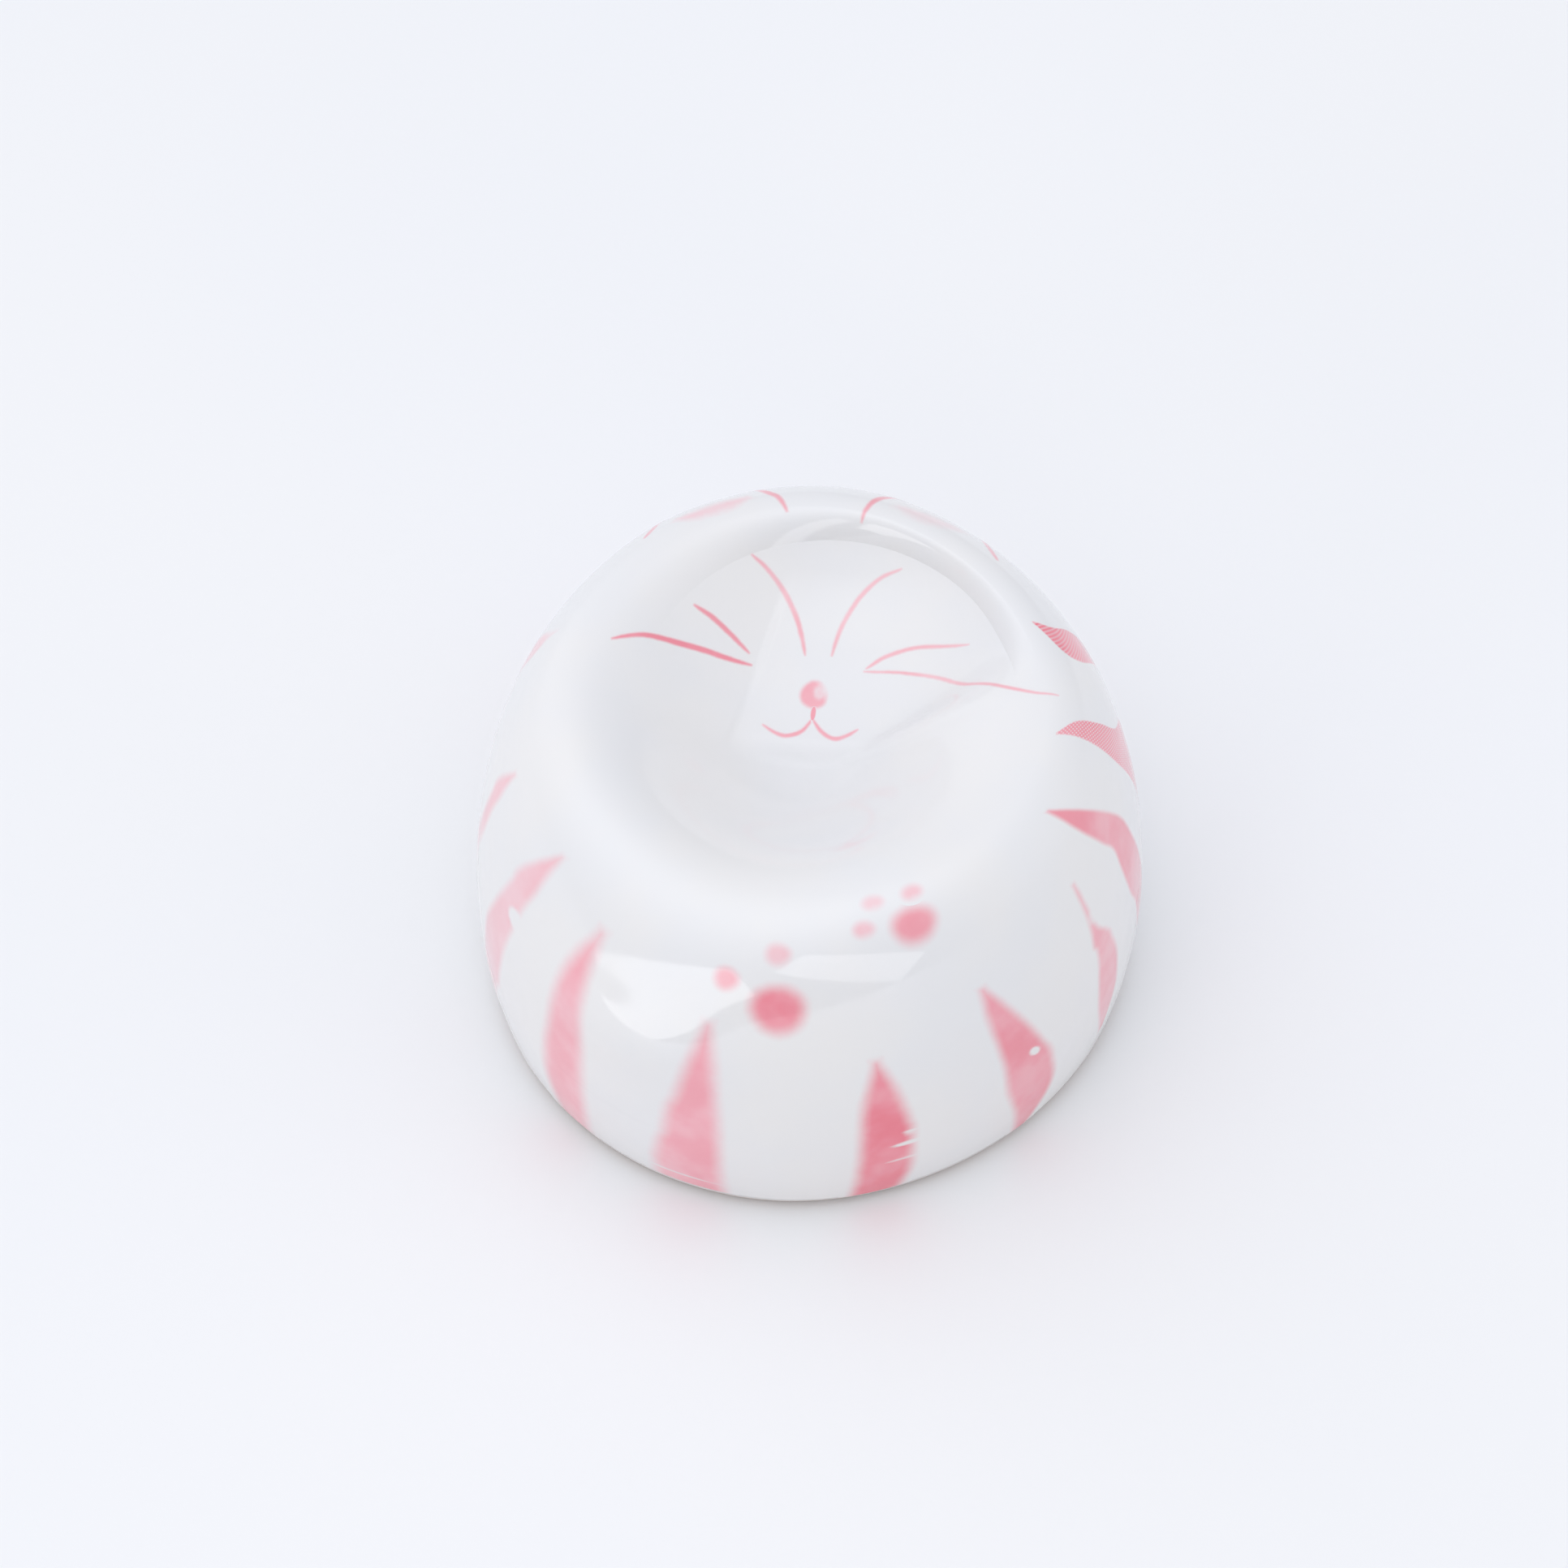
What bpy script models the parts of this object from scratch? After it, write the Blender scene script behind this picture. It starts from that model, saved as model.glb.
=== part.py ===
"""Sleeping cat figurine: a small porcelain cat curled up into a round bun.

The hollow body is the coiled cat, a thick ring round a dish.  The head is a shallow dished disc luted into
the throat of that ring, and its seam shows as a crease behind the face.  Everything pink is a transfer
print: stripes round the coat, ear outlines on the rear of the ring, the face in the dish and two paws on
the front of the ring.  +Z is up, the face looks towards -Y, and the origin is on the table under the middle.
"""

import math

import bmesh
import bpy
from mathutils import Vector

MM = 0.001

# Driving dimensions of the coat, the outer skin of the bun.
WIDTH = 38.0 * MM
DEPTH_RATIO = 1.074  # depth over width
HEIGHT = 21.2 * MM
BELLY_HEIGHT = 6.1 * MM  # where the bun is widest
PLAN_POWER = 1.945  # 2 would be a true ellipse seen from above
PLAN_WOBBLE = 0.012  # three soft corners left by hand fettling
PLAN_WOBBLE_TURN = math.radians(-132.4)
FOOT_TUCK = 0.04  # how far the wall draws in at the table, over its radius
RIDGE = 0.69  # the top of the ring, over the plan radius
SHOULDER_POWER = 2.04  # 2 would be an elliptical shoulder

# The front left of the ring is the cat's haunch: the ring sags there, and its wall swells a little.
HAUNCH_TURN = math.radians(252)  # azimuth of the sag
HAUNCH_SPREAD = math.radians(32)
RIDGE_SAG = 1.2 * MM
RIDGE_SHIFT = 0.05  # how far the top moves in, over the plan radius
SWELL_TURN = math.radians(246)
SWELL_HEIGHT = 12.8 * MM
SWELL_RISE = 0.8 * MM
SWELL_HALF_LENGTH = math.radians(15.2)
SWELL_HALF_HEIGHT = 2.6 * MM
SWELL_TILT = 0.3  # it points outwards, and up by this angle

# The dish in the top, and the seam between head and ring.
SEAM_CENTRE = Vector((0.9, 0.5)) * MM
SEAM_HALF_WIDTH = 10.65 * MM
SEAM_HALF_DEPTH = 12.4 * MM
DISH_FLOOR = 14.6 * MM  # height of the lowest point of the dish
CREASE_HEIGHT = 19.8 * MM  # height of the crease behind the face
CREASE_FULL = math.radians(52)  # the crease is sharp this far to each side of straight back
CREASE_FADE = math.radians(38)  # and has melted into the dish this much further round
DISH_STEEPNESS = 1.15
DISH_STEEPNESS_LEAN = 0.25  # the cat's right-hand wall of the dish is steeper than its left-hand wall

# The muzzle, a levelled mound on the rear slope of the dish: it meets the cat's right-hand wall in a
# slanting valley and melts into the dish at its other side, its chin and its brow.
MUZZLE_RISE = 0.6 * MM
MUZZLE_LEVEL = 0.6  # how far it evens out the wall's slope
MUZZLE_CHEEK_X = -5.15 * MM  # the valley's place beside the chin
MUZZLE_CHEEK_LEAN = 0.26
MUZZLE_CHEEK_EDGE = 0.7 * MM
MUZZLE_FAR_X = 11.0 * MM
MUZZLE_FAR_FADE = 9.0 * MM
MUZZLE_CHIN_Y = 0.2 * MM
MUZZLE_CHIN_EDGE = 1.8 * MM
MUZZLE_BROW_Y = 11.5 * MM
MUZZLE_BROW_FADE = 4.0 * MM

# The walls, the foot and the hollow inside.
WALL = 2.4 * MM
SEAM_GAP = 0.3 * MM
THROAT_DEPTH = 2.6 * MM
HEAD_THICKNESS = 2.3 * MM
FOOT_ROUNDING = 0.7 * MM
FOOT_WIDTH = 2.4 * MM
FOOT_RECESS = 0.9 * MM
VENT_RADIUS = 3.0 * MM

# The print: thin films of ink that stand just clear of the glaze.
INK_GAP = 0.1 * MM
INK_THICKNESS = 0.1 * MM

# The outline isn't quite symmetric, so the cat is shifted to put the middle of its box over the origin.
CENTRING = Vector((-0.2, -0.18, 0.0)) * MM

# How finely the faceted surfaces are divided.
BODY_AROUND = 96
HEAD_AROUND = 64
HEAD_RINGS = 10  # an even number, because the underside has half as many
WALL_STEPS = 5
SHOULDER_STEPS = 13
LIP_STEPS = 5
HOLLOW_STEPS = 6

PROBE = 0.0001  # step for slopes, in the surface's own coordinates


# ---------------------------------------------------------------- the outer surface

def ease(value):
    """0 to 1 with flat ends."""
    value = min(1.0, max(0.0, value))
    return value * value * (3.0 - 2.0 * value)


def plan_radius(azimuth):
    """Distance from the middle to the widest line, seen from above."""
    half_width = WIDTH / 2
    across = abs(math.cos(azimuth)) / half_width
    along = abs(math.sin(azimuth)) / (half_width * DEPTH_RATIO)
    radius = (across**PLAN_POWER + along**PLAN_POWER) ** (-1 / PLAN_POWER)
    return radius * (1 + PLAN_WOBBLE * math.cos(3 * (azimuth - PLAN_WOBBLE_TURN)))


def seam_radius(bearing):
    """Distance from the dish centre to the seam, in a plan direction."""
    across = math.cos(bearing) / SEAM_HALF_WIDTH
    along = math.sin(bearing) / SEAM_HALF_DEPTH
    return 1 / math.hypot(across, along)


def near_haunch(azimuth):
    """1 at the haunch, falling to 0 round the ring."""
    return math.exp(-((math.remainder(azimuth - HAUNCH_TURN, 2 * math.pi) / HAUNCH_SPREAD) ** 2))


def ridge_height(azimuth):
    return HEIGHT - RIDGE_SAG * near_haunch(azimuth)


def ridge_share(azimuth):
    return RIDGE - RIDGE_SHIFT * near_haunch(azimuth)


def ridge_radius(azimuth):
    return ridge_share(azimuth) * plan_radius(azimuth)


def swell(azimuth, height):
    """The low swelling on the haunch, as a move away from the plain wall."""
    round_it = math.remainder(azimuth - SWELL_TURN, 2 * math.pi) / SWELL_HALF_LENGTH
    up_it = (height - SWELL_HEIGHT) / SWELL_HALF_HEIGHT
    rise = SWELL_RISE * math.exp(-round_it**2 - up_it**2)
    return polar(rise * math.cos(SWELL_TILT), azimuth, rise * math.sin(SWELL_TILT))


def ridge_distance(bearing):
    """Distance from the dish centre to the ring's ridge, found by stepping onto it."""
    distance = SEAM_HALF_DEPTH
    for _ in range(12):
        x = SEAM_CENTRE.x + distance * math.cos(bearing)
        y = SEAM_CENTRE.y + distance * math.sin(bearing)
        distance -= math.hypot(x, y) - ridge_radius(math.atan2(y, x))
    return distance


def muzzle_share(x, y):
    """1 on the muzzle and 0 away from it."""
    near_cheek = ease((x - MUZZLE_CHEEK_X - MUZZLE_CHEEK_LEAN * y) / MUZZLE_CHEEK_EDGE)
    far_cheek = ease((MUZZLE_FAR_X - x) / MUZZLE_FAR_FADE)
    chin = ease((y - MUZZLE_CHIN_Y) / MUZZLE_CHIN_EDGE)
    brow = ease((MUZZLE_BROW_Y - y) / MUZZLE_BROW_FADE)
    return near_cheek * far_cheek * chin * brow


def dish_height(x, y):
    """Height of the top surface inside the ring's ridge."""
    plain = hollow_height(x, y)
    share = muzzle_share(x, y)
    if share == 0:
        return plain
    level = hollow_height(max(x, SEAM_CENTRE.x), y)
    return plain + share * (MUZZLE_RISE + MUZZLE_LEVEL * (level - plain))


def hollow_height(x, y):
    """The dish, and the lip behind the face, without the muzzle."""
    away = Vector((x, y)) - SEAM_CENTRE
    bearing = math.atan2(away.y, away.x)
    ridge = ridge_distance(bearing)
    seam = seam_radius(bearing)
    distance = min(away.length, ridge)
    rim = SEAM_CENTRE + ridge * Vector((math.cos(bearing), math.sin(bearing)))
    top = ridge_height(math.atan2(rim.y, rim.x))

    steepness = DISH_STEEPNESS - DISH_STEEPNESS_LEAN * math.cos(bearing)
    turn = math.pi * (distance / ridge) ** steepness
    soft = DISH_FLOOR + (top - DISH_FLOOR) * (1 - math.cos(turn)) / 2

    if distance < seam:
        creased = DISH_FLOOR + (CREASE_HEIGHT - DISH_FLOOR) * (distance / seam) ** 2
    else:
        creased = top - (top - CREASE_HEIGHT) * ((ridge - distance) / (ridge - seam)) ** 2

    off_rear = abs(math.remainder(bearing - math.pi / 2, 2 * math.pi))
    crease_share = 1 - ease((off_rear - CREASE_FULL) / CREASE_FADE)
    return soft + crease_share * (creased - soft)


def on_coat(azimuth, section):
    """A point on the coat: section 0 at the table, 1 at the belly, 2 at the ridge, 3 at the dish centre."""
    radius = plan_radius(azimuth)
    if section <= 1:
        tuck = FOOT_TUCK * (1 - section) ** 2
        return polar(radius * (1 - tuck), azimuth, BELLY_HEIGHT * section)
    if section <= 2:
        turn = (section - 1) * math.pi / 2
        reach = max(0.0, math.cos(turn)) ** (2 / SHOULDER_POWER)
        lift = math.sin(turn) ** (2 / SHOULDER_POWER)
        height = BELLY_HEIGHT + (ridge_height(azimuth) - BELLY_HEIGHT) * lift
        share = ridge_share(azimuth)
        return polar(radius * (share + (1 - share) * reach), azimuth, height) + swell(azimuth, height)
    inward = section - 2
    ridge = polar(ridge_radius(azimuth), azimuth, 0)
    x = ridge.x + inward * (SEAM_CENTRE.x - ridge.x)
    y = ridge.y + inward * (SEAM_CENTRE.y - ridge.y)
    return Vector((x, y, dish_height(x, y)))


def on_top(x, y):
    """The point of the coat above a plan position, anywhere inside the belly line but on the swell."""
    azimuth = math.atan2(y, x)
    share = math.hypot(x, y) / plan_radius(azimuth)
    ridge = ridge_share(azimuth)
    if share <= ridge:
        return Vector((x, y, dish_height(x, y)))
    reach = min(1.0, (share - ridge) / (1 - ridge)) ** (SHOULDER_POWER / 2)
    lift = math.sin(math.acos(reach)) ** (2 / SHOULDER_POWER)
    return Vector((x, y, BELLY_HEIGHT + (ridge_height(azimuth) - BELLY_HEIGHT) * lift))


def polar(radius, azimuth, height):
    return Vector((radius * math.cos(azimuth), radius * math.sin(azimuth), height))


def section_at(height):
    """The coat's section value at a height on the outer wall, away from the haunch."""
    if height <= BELLY_HEIGHT:
        return height / BELLY_HEIGHT
    lift = (height - BELLY_HEIGHT) / (HEIGHT - BELLY_HEIGHT)
    return 1 + math.asin(min(1.0, lift) ** (SHOULDER_POWER / 2)) * 2 / math.pi


# ---------------------------------------------------------------- modelling helpers

def new_collection(name):
    collection = bpy.data.collections.new(name)
    bpy.context.scene.collection.children.link(collection)
    return collection


def new_material(name, colour, roughness, coat=0.0):
    material = bpy.data.materials.new(name)
    material.use_nodes = True
    shader = material.node_tree.nodes["Principled BSDF"]
    shader.inputs["Base Color"].default_value = (*colour, 1.0)
    shader.inputs["Roughness"].default_value = roughness
    shader.inputs["Metallic"].default_value = 0.0
    shader.inputs["Coat Weight"].default_value = coat
    return material


def mapped_grid(name, steps_a, steps_b, point_at):
    """A grid whose two directions, each 0 to 1, are mapped to points; edges that meet are welded."""
    grid = bmesh.new()
    bmesh.ops.create_grid(grid, x_segments=steps_a, y_segments=steps_b, size=0.5)
    for vertex in grid.verts:
        vertex.co = point_at(vertex.co.x + 0.5, vertex.co.y + 0.5)
    bmesh.ops.remove_doubles(grid, verts=grid.verts[:], dist=0.001 * MM)
    bmesh.ops.recalc_face_normals(grid, faces=grid.faces[:])
    mesh = bpy.data.meshes.new(name)
    grid.to_mesh(mesh)
    grid.free()
    mesh.shade_smooth()
    mesh.set_sharp_from_angle(angle=math.radians(40))
    return mesh


def place(name, mesh, material, collection, parent):
    item = bpy.data.objects.new(name, mesh)
    mesh.materials.append(material)
    collection.objects.link(item)
    item.parent = parent
    return item


def lofted_solid(name, section_of, around, material, collection, parent):
    """A closed solid lofted through one section for each azimuth; sections differ round the cat."""
    sections = [section_of(2 * math.pi * i / around) for i in range(around)]
    count = len(sections[0])

    def point_at(turn, along):
        return sections[round(turn * around) % around][round(along * (count - 1))]

    mesh = mapped_grid(name, around, count - 1, point_at)
    return place(name, mesh, material, collection, parent)


# ---------------------------------------------------------------- body and head

def body_section(azimuth):
    """The closed outline of the hollow body in one direction, from the vent out, over and back."""
    foot_radius = on_coat(azimuth, 0).to_2d().length - FOOT_ROUNDING
    points = [
        polar(VENT_RADIUS, azimuth, FOOT_RECESS),
        polar((VENT_RADIUS + foot_radius) / 2, azimuth, FOOT_RECESS),
        polar(foot_radius - FOOT_WIDTH - FOOT_RECESS, azimuth, FOOT_RECESS),
        polar(foot_radius - FOOT_WIDTH, azimuth, 0),
        polar(foot_radius, azimuth, 0),
    ]
    points.append(polar(foot_radius + 0.7 * FOOT_ROUNDING, azimuth, 0.3 * FOOT_ROUNDING))
    lowest = FOOT_ROUNDING / BELLY_HEIGHT
    for i in range(WALL_STEPS):
        points.append(on_coat(azimuth, lowest + (1 - lowest) * i / WALL_STEPS))
    for i in range(SHOULDER_STEPS):
        points.append(on_coat(azimuth, 1 + i / SHOULDER_STEPS))
    points += lip_and_throat(azimuth)
    points += hollow(azimuth)
    points.append(polar(VENT_RADIUS, azimuth, FOOT_RECESS + WALL))
    points.append(points[0].copy())
    return points


def lip_and_throat(azimuth):
    """From the ridge in to the seam and down the throat that holds the head."""
    ridge = polar(ridge_radius(azimuth), azimuth, 0).to_2d()
    away = ridge - SEAM_CENTRE
    bearing = math.atan2(away.y, away.x)
    seam = seam_radius(bearing) + SEAM_GAP / 2
    points = []
    for i in range(LIP_STEPS + 1):
        spot = SEAM_CENTRE + away.normalized() * (away.length + (seam - away.length) * i / LIP_STEPS)
        points.append(Vector((spot.x, spot.y, dish_height(spot.x, spot.y))))
    low = points[-1].copy()
    low.z -= THROAT_DEPTH
    points.append(low)
    return points


def hollow(azimuth):
    """The inside of the ring: up under the ridge, down inside the wall and onto the floor."""
    radius = plan_radius(azimuth)
    ridge = ridge_radius(azimuth)
    floor = FOOT_RECESS + WALL
    reach = radius - ridge - WALL
    rise = ridge_height(azimuth) - BELLY_HEIGHT - WALL
    points = []
    for i in range(HOLLOW_STEPS + 1):
        turn = (1 - i / HOLLOW_STEPS) * math.pi / 2
        height = BELLY_HEIGHT + rise * math.sin(turn)
        points.append(polar(ridge + reach * math.cos(turn), azimuth, height))
    points.append(polar(radius - WALL - 0.5 * MM, azimuth, floor + 0.6 * MM))
    points.append(polar(radius - WALL - 2.0 * MM, azimuth, floor))
    points.append(polar(radius / 2, azimuth, floor))
    return points


def head_section(bearing):
    """The closed outline of the head in one direction from the dish centre: top, rim and underside."""
    direction = Vector((math.cos(bearing), math.sin(bearing)))
    rim = seam_radius(bearing) - SEAM_GAP / 2
    spots = [SEAM_CENTRE + direction * rim * i / HEAD_RINGS for i in range(HEAD_RINGS + 1)]
    top = [Vector((spot.x, spot.y, dish_height(spot.x, spot.y))) for spot in spots]
    bottom = [point - Vector((0, 0, HEAD_THICKNESS)) for point in top]
    return top + bottom[::-2]


# ---------------------------------------------------------------- print

def smooth_path(points):
    """A curve through a few points, as a function of 0 to 1."""
    points = [Vector(point) for point in points]
    first = 2 * points[0] - points[1]
    last = 2 * points[-1] - points[-2]
    padded = [first, *points, last]
    spans = len(points) - 1

    def at(share):
        span = min(int(share * spans), spans - 1)
        t = share * spans - span
        a, b, c, d = padded[span : span + 4]
        bend = 2 * a - 5 * b + 4 * c - d
        twist = 3 * b - a - 3 * c + d
        return 0.5 * (2 * b + (c - a) * t + bend * t**2 + twist * t**3)

    return at


def slopes(surface, spot):
    """How the surface point moves along each of its two coordinates."""
    ahead = surface(spot[0] + PROBE, spot[1]) - surface(spot[0] - PROBE, spot[1])
    aside = surface(spot[0], spot[1] + PROBE) - surface(spot[0], spot[1] - PROBE)
    return ahead / (2 * PROBE), aside / (2 * PROBE)


def outward(surface, spot):
    """The surface's normal, pointing out of the porcelain, which is up everywhere but under the belly."""
    first, second = slopes(surface, spot)
    normal = first.cross(second).normalized()
    point = surface(*spot)
    out = Vector((point.x, point.y, WIDTH / 2 if point.z > BELLY_HEIGHT else 0))
    return normal if normal.dot(out) > 0 else -normal


def step_along(surface, spot, move):
    """The coordinates reached from a spot by a small move in space along the surface."""
    first, second = slopes(surface, spot)
    aa, bb, ab = first.dot(first), second.dot(second), first.dot(second)
    along, beside = move.dot(first), move.dot(second)
    whole = aa * bb - ab * ab
    first_step = (along * bb - beside * ab) / whole
    second_step = (beside * aa - along * ab) / whole
    return Vector((spot[0] + first_step, spot[1] + second_step))


def ink_film(name, surface, spot_at, along, across, kit):
    """A thin closed film of ink; spot_at turns two numbers, each 0 to 1, into surface coordinates."""
    def point_at(a, b):
        spot = spot_at(a, b)
        return surface(*spot) + outward(surface, spot) * INK_GAP

    mesh = mapped_grid(name, along, across, point_at)
    middle = spot_at(0.5, 0.5)
    if mesh.polygons[len(mesh.polygons) // 2].normal.dot(outward(surface, middle)) < 0:
        mesh.flip_normals()
    film = place(name, mesh, kit["ink"], kit["collection"], kit["cat"])
    shell = film.modifiers.new("thickness", "SOLIDIFY")
    shell.thickness = INK_THICKNESS
    shell.offset = 1.0
    return film


def ink_line(name, surface, points, width, kit, reach=1.0, along=10, across=1, fullness=0.6):
    """A brush stroke through the points, pointed at both ends; with reach under 1 the far end is blunt."""
    path = smooth_path(points)
    thin_end = 0.12 * width

    def spot_at(a, b):
        spot = path(a)
        forward = surface(*path(min(1.0, a + 0.01))) - surface(*path(max(0.0, a - 0.01)))
        aside = outward(surface, spot).cross(forward).normalized()
        half = 0.5 * max(thin_end, width * math.sin(math.pi * a * reach) ** fullness)
        return step_along(surface, spot, aside * half * (2 * b - 1))

    return ink_film(name, surface, spot_at, along, across, kit)


def ink_spot(name, surface, centre, width, depth, kit, steps=4):
    """An oval spot: a square of steps is rounded off into a disc."""
    def spot_at(a, b):
        a, b = 2 * a - 1, 2 * b - 1
        right = a * math.sqrt(1 - b * b / 2) * width / 2
        up = b * math.sqrt(1 - a * a / 2) * depth / 2
        normal = outward(surface, centre)
        sideways = Vector((-normal.y, normal.x, 0))
        if surface is on_top:
            sideways = Vector((1, 0, 0))
        sideways = (sideways - normal * sideways.dot(normal)).normalized()
        return step_along(surface, centre, sideways * right + normal.cross(sideways) * up)

    return ink_film(name, surface, spot_at, steps, steps, kit)


def coat_spots(*places):
    """Coat coordinates from pairs of azimuth in degrees and height in millimetres."""
    return [(math.radians(azimuth), section_at(height * MM)) for azimuth, height in places]


def plan_spots(*places):
    """Plan coordinates from pairs in millimetres."""
    return [(x * MM, y * MM) for x, y in places]


# Each stripe: its name, then azimuth and height of its tip, middle and foot, its width in millimetres,
# and how much of the leaf shape fits on the wall before the foot cuts it off.
STRIPES = [
    ("stripe_front_left", (258.3, 15.9), (256.5, 8.2), (255.0, 0.8), 3.9, 0.72),
    ("stripe_front_right", (286.0, 13.2), (287.8, 7.0), (286.0, 0.8), 3.2, 0.72),
    ("stripe_left_1", (235.0, 18.0), (231.8, 8.7), (230.0, 0.8), 3.1, 0.82),
    ("stripe_left_2", (220.5, 19.5), (209.5, 12.0), (205.0, 2.6), 3.1, 1.0),
    ("stripe_left_3", (197.0, 18.7), (191.5, 13.0), (185.0, 4.0), 2.6, 1.0),
    ("stripe_left_4", (163.0, 20.3), (161.0, 15.0), (154.0, 4.0), 3.0, 1.0),
    ("stripe_right_1", (306.0, 15.5), (313.5, 8.5), (314.5, 0.8), 3.4, 0.97),
    ("stripe_right_2", (331.0, 17.0), (335.7, 9.5), (336.0, 3.0), 2.4, 1.0),
    ("stripe_right_3", (335.0, 20.6), (350.5, 14.5), (358.0, 3.0), 3.0, 1.0),
    ("stripe_right_4", (354.5, 21.15), (366.0, 16.5), (377.0, 5.0), 3.0, 1.0),
    ("stripe_right_5", (388.5, 21.15), (386.0, 17.5), (394.0, 5.0), 3.0, 1.0),
    ("stripe_rear_1", (60.0, 11.0), (58.0, 6.5), (57.0, 2.0), 2.8, 1.0),
    ("stripe_rear_2", (80.0, 13.0), (78.5, 7.0), (78.0, 2.0), 3.0, 1.0),
    ("stripe_rear_3", (99.0, 13.0), (100.5, 7.0), (101.0, 2.0), 3.0, 1.0),
    ("stripe_rear_4", (118.0, 11.0), (121.0, 6.5), (122.0, 2.0), 2.8, 1.0),
    ("stripe_rear_5", (141.0, 13.5), (139.0, 8.0), (137.0, 2.0), 2.8, 1.0),
]


def add_stripes(kit):
    for name, tip, middle, foot, width, reach in STRIPES:
        ink_line(name, on_coat, coat_spots(tip, middle, foot), width * MM, kit, reach, 14, 3, 0.8)


def add_face(kit):
    """The sleeping face, in plan millimetres from the middle of the cat."""
    ink_spot("nose", on_top, Vector(plan_spots((-0.02, 4.68))[0]), 1.55 * MM, 1.55 * MM, kit)
    lines = [
        (
            "eye_left", 0.34,
            (-4.15, 11.4), (-3.25, 11.0), (-2.25, 10.2), (-1.45, 9.0), (-1.0, 7.9), (-0.7, 6.9),
        ),
        ("eye_right", 0.32, (4.4, 11.55), (3.2, 11.2), (2.15, 10.3), (1.4, 9.0), (1.0, 7.85), (0.8, 7.0)),
        ("whisker_left_upper", 0.4, (-7.1, 7.8), (-6.1, 7.65), (-5.0, 7.2), (-3.85, 6.6)),
        (
            "whisker_left_lower", 0.4,
            (-11.25, 3.5), (-9.45, 4.65), (-7.85, 5.3), (-6.4, 5.65), (-5.0, 5.8), (-3.7, 5.85),
        ),
        ("whisker_right_upper", 0.3, (2.95, 6.45), (3.95, 6.95), (5.8, 7.25), (8.6, 6.75)),
        (
            "whisker_right_lower", 0.3,
            (2.95, 6.0), (4.95, 5.9), (7.25, 5.2), (9.0, 3.8), (10.75, 2.25), (12.35, 1.55), (13.8, 1.4),
        ),
        ("nose_line", 0.3, (0.03, 3.78), (0.02, 3.3)),
        ("mouth_left", 0.32, (-2.75, 2.5), (-1.9, 2.05), (-1.25, 2.0), (-0.6, 2.35), (-0.16, 3.1)),
        ("mouth_right", 0.32, (2.65, 2.65), (1.95, 2.2), (1.3, 2.05), (0.65, 2.35), (0.2, 3.1)),
    ]
    for name, width, *places in lines:
        ink_line(name, on_top, plan_spots(*places), width * MM, kit, fullness=0.35)


def add_ears(kit):
    """Two outlined ears on the rear shoulder, each with a soft blush inside it."""
    ears = {
        "left": {
            "inner": [
                (100.0, 21.15), (101.25, 21.08), (102.7, 20.88), (104.0, 20.5), (107.5, 18.2), (112.6, 15.2),
            ],
            "outer": [(131.6, 20.6), (129.5, 20.35), (127.0, 19.9), (120.0, 17.3), (114.9, 15.2)],
            "blush": [(123.4, 20.65), (120.2, 20.93), (115.9, 20.98), (111.5, 20.98), (107.6, 20.88)],
        },
        "right": {
            "inner": [(81.5, 21.15), (80.6, 21.06), (79.6, 20.8), (78.2, 20.35), (74.0, 18.0), (69.3, 15.2)],
            "outer": [(49.4, 20.65), (53.0, 20.27), (56.5, 19.6), (62.5, 17.0), (67.1, 15.2)],
            "blush": [(75.2, 20.9), (71.8, 20.95), (68.8, 20.9), (65.2, 20.75), (62.2, 20.5), (60.4, 20.3)],
        },
    }
    for side, marks in ears.items():
        for edge in ("inner", "outer"):
            path = coat_spots(*marks[edge])
            ink_line(f"ear_{side}_{edge}_edge", on_coat, path, 0.4 * MM, kit, fullness=0.35, along=14)
        ink_line(f"ear_{side}_blush", on_coat, coat_spots(*marks["blush"]), 1.1 * MM, kit, 1.0, 10, 2)


def add_paws(kit):
    """Two paw prints on the front of the ring: azimuth, height, width and depth of each spot."""
    spots = [
        ("paw_left_pad", 269.9, 17.3, 3.0, 2.7),
        ("paw_left_toe_1", 260.3, 18.6, 1.3, 1.2),
        ("paw_left_toe_2", 269.4, 19.9, 1.3, 1.1),
        ("paw_right_pad", 296.2, 20.2, 2.4, 1.9),
        ("paw_right_toe_1", 286.2, 20.5, 1.1, 0.8),
        ("paw_right_toe_2", 289.1, 21.1, 1.1, 0.7),
        ("paw_right_toe_3", 297.8, 21.07, 1.1, 0.7),
    ]
    for name, azimuth, height, width, depth in spots:
        centre = Vector(coat_spots((azimuth, height))[0])
        ink_spot(name, on_coat, centre, width * MM, depth * MM, kit)


# ---------------------------------------------------------------- the whole cat

def main():
    for item in list(bpy.data.objects):
        bpy.data.objects.remove(item)
    collection = new_collection("sleeping_cat_figurine")
    cat = bpy.data.objects.new("cat", None)
    collection.objects.link(cat)
    cat.location = CENTRING
    glaze = new_material("white_glaze", (0.83, 0.84, 0.87), 0.12, 0.6)
    head_glaze = new_material("white_glaze_head", (0.83, 0.84, 0.87), 0.12, 0.6)
    ink = new_material("pink_print", (0.86, 0.30, 0.37), 0.2, 0.5)
    lofted_solid("body", body_section, BODY_AROUND, glaze, collection, cat)
    lofted_solid("head", head_section, HEAD_AROUND, head_glaze, collection, cat)
    kit = {"ink": ink, "collection": collection, "cat": cat}
    add_stripes(kit)
    add_face(kit)
    add_ears(kit)
    add_paws(kit)


main()
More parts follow.
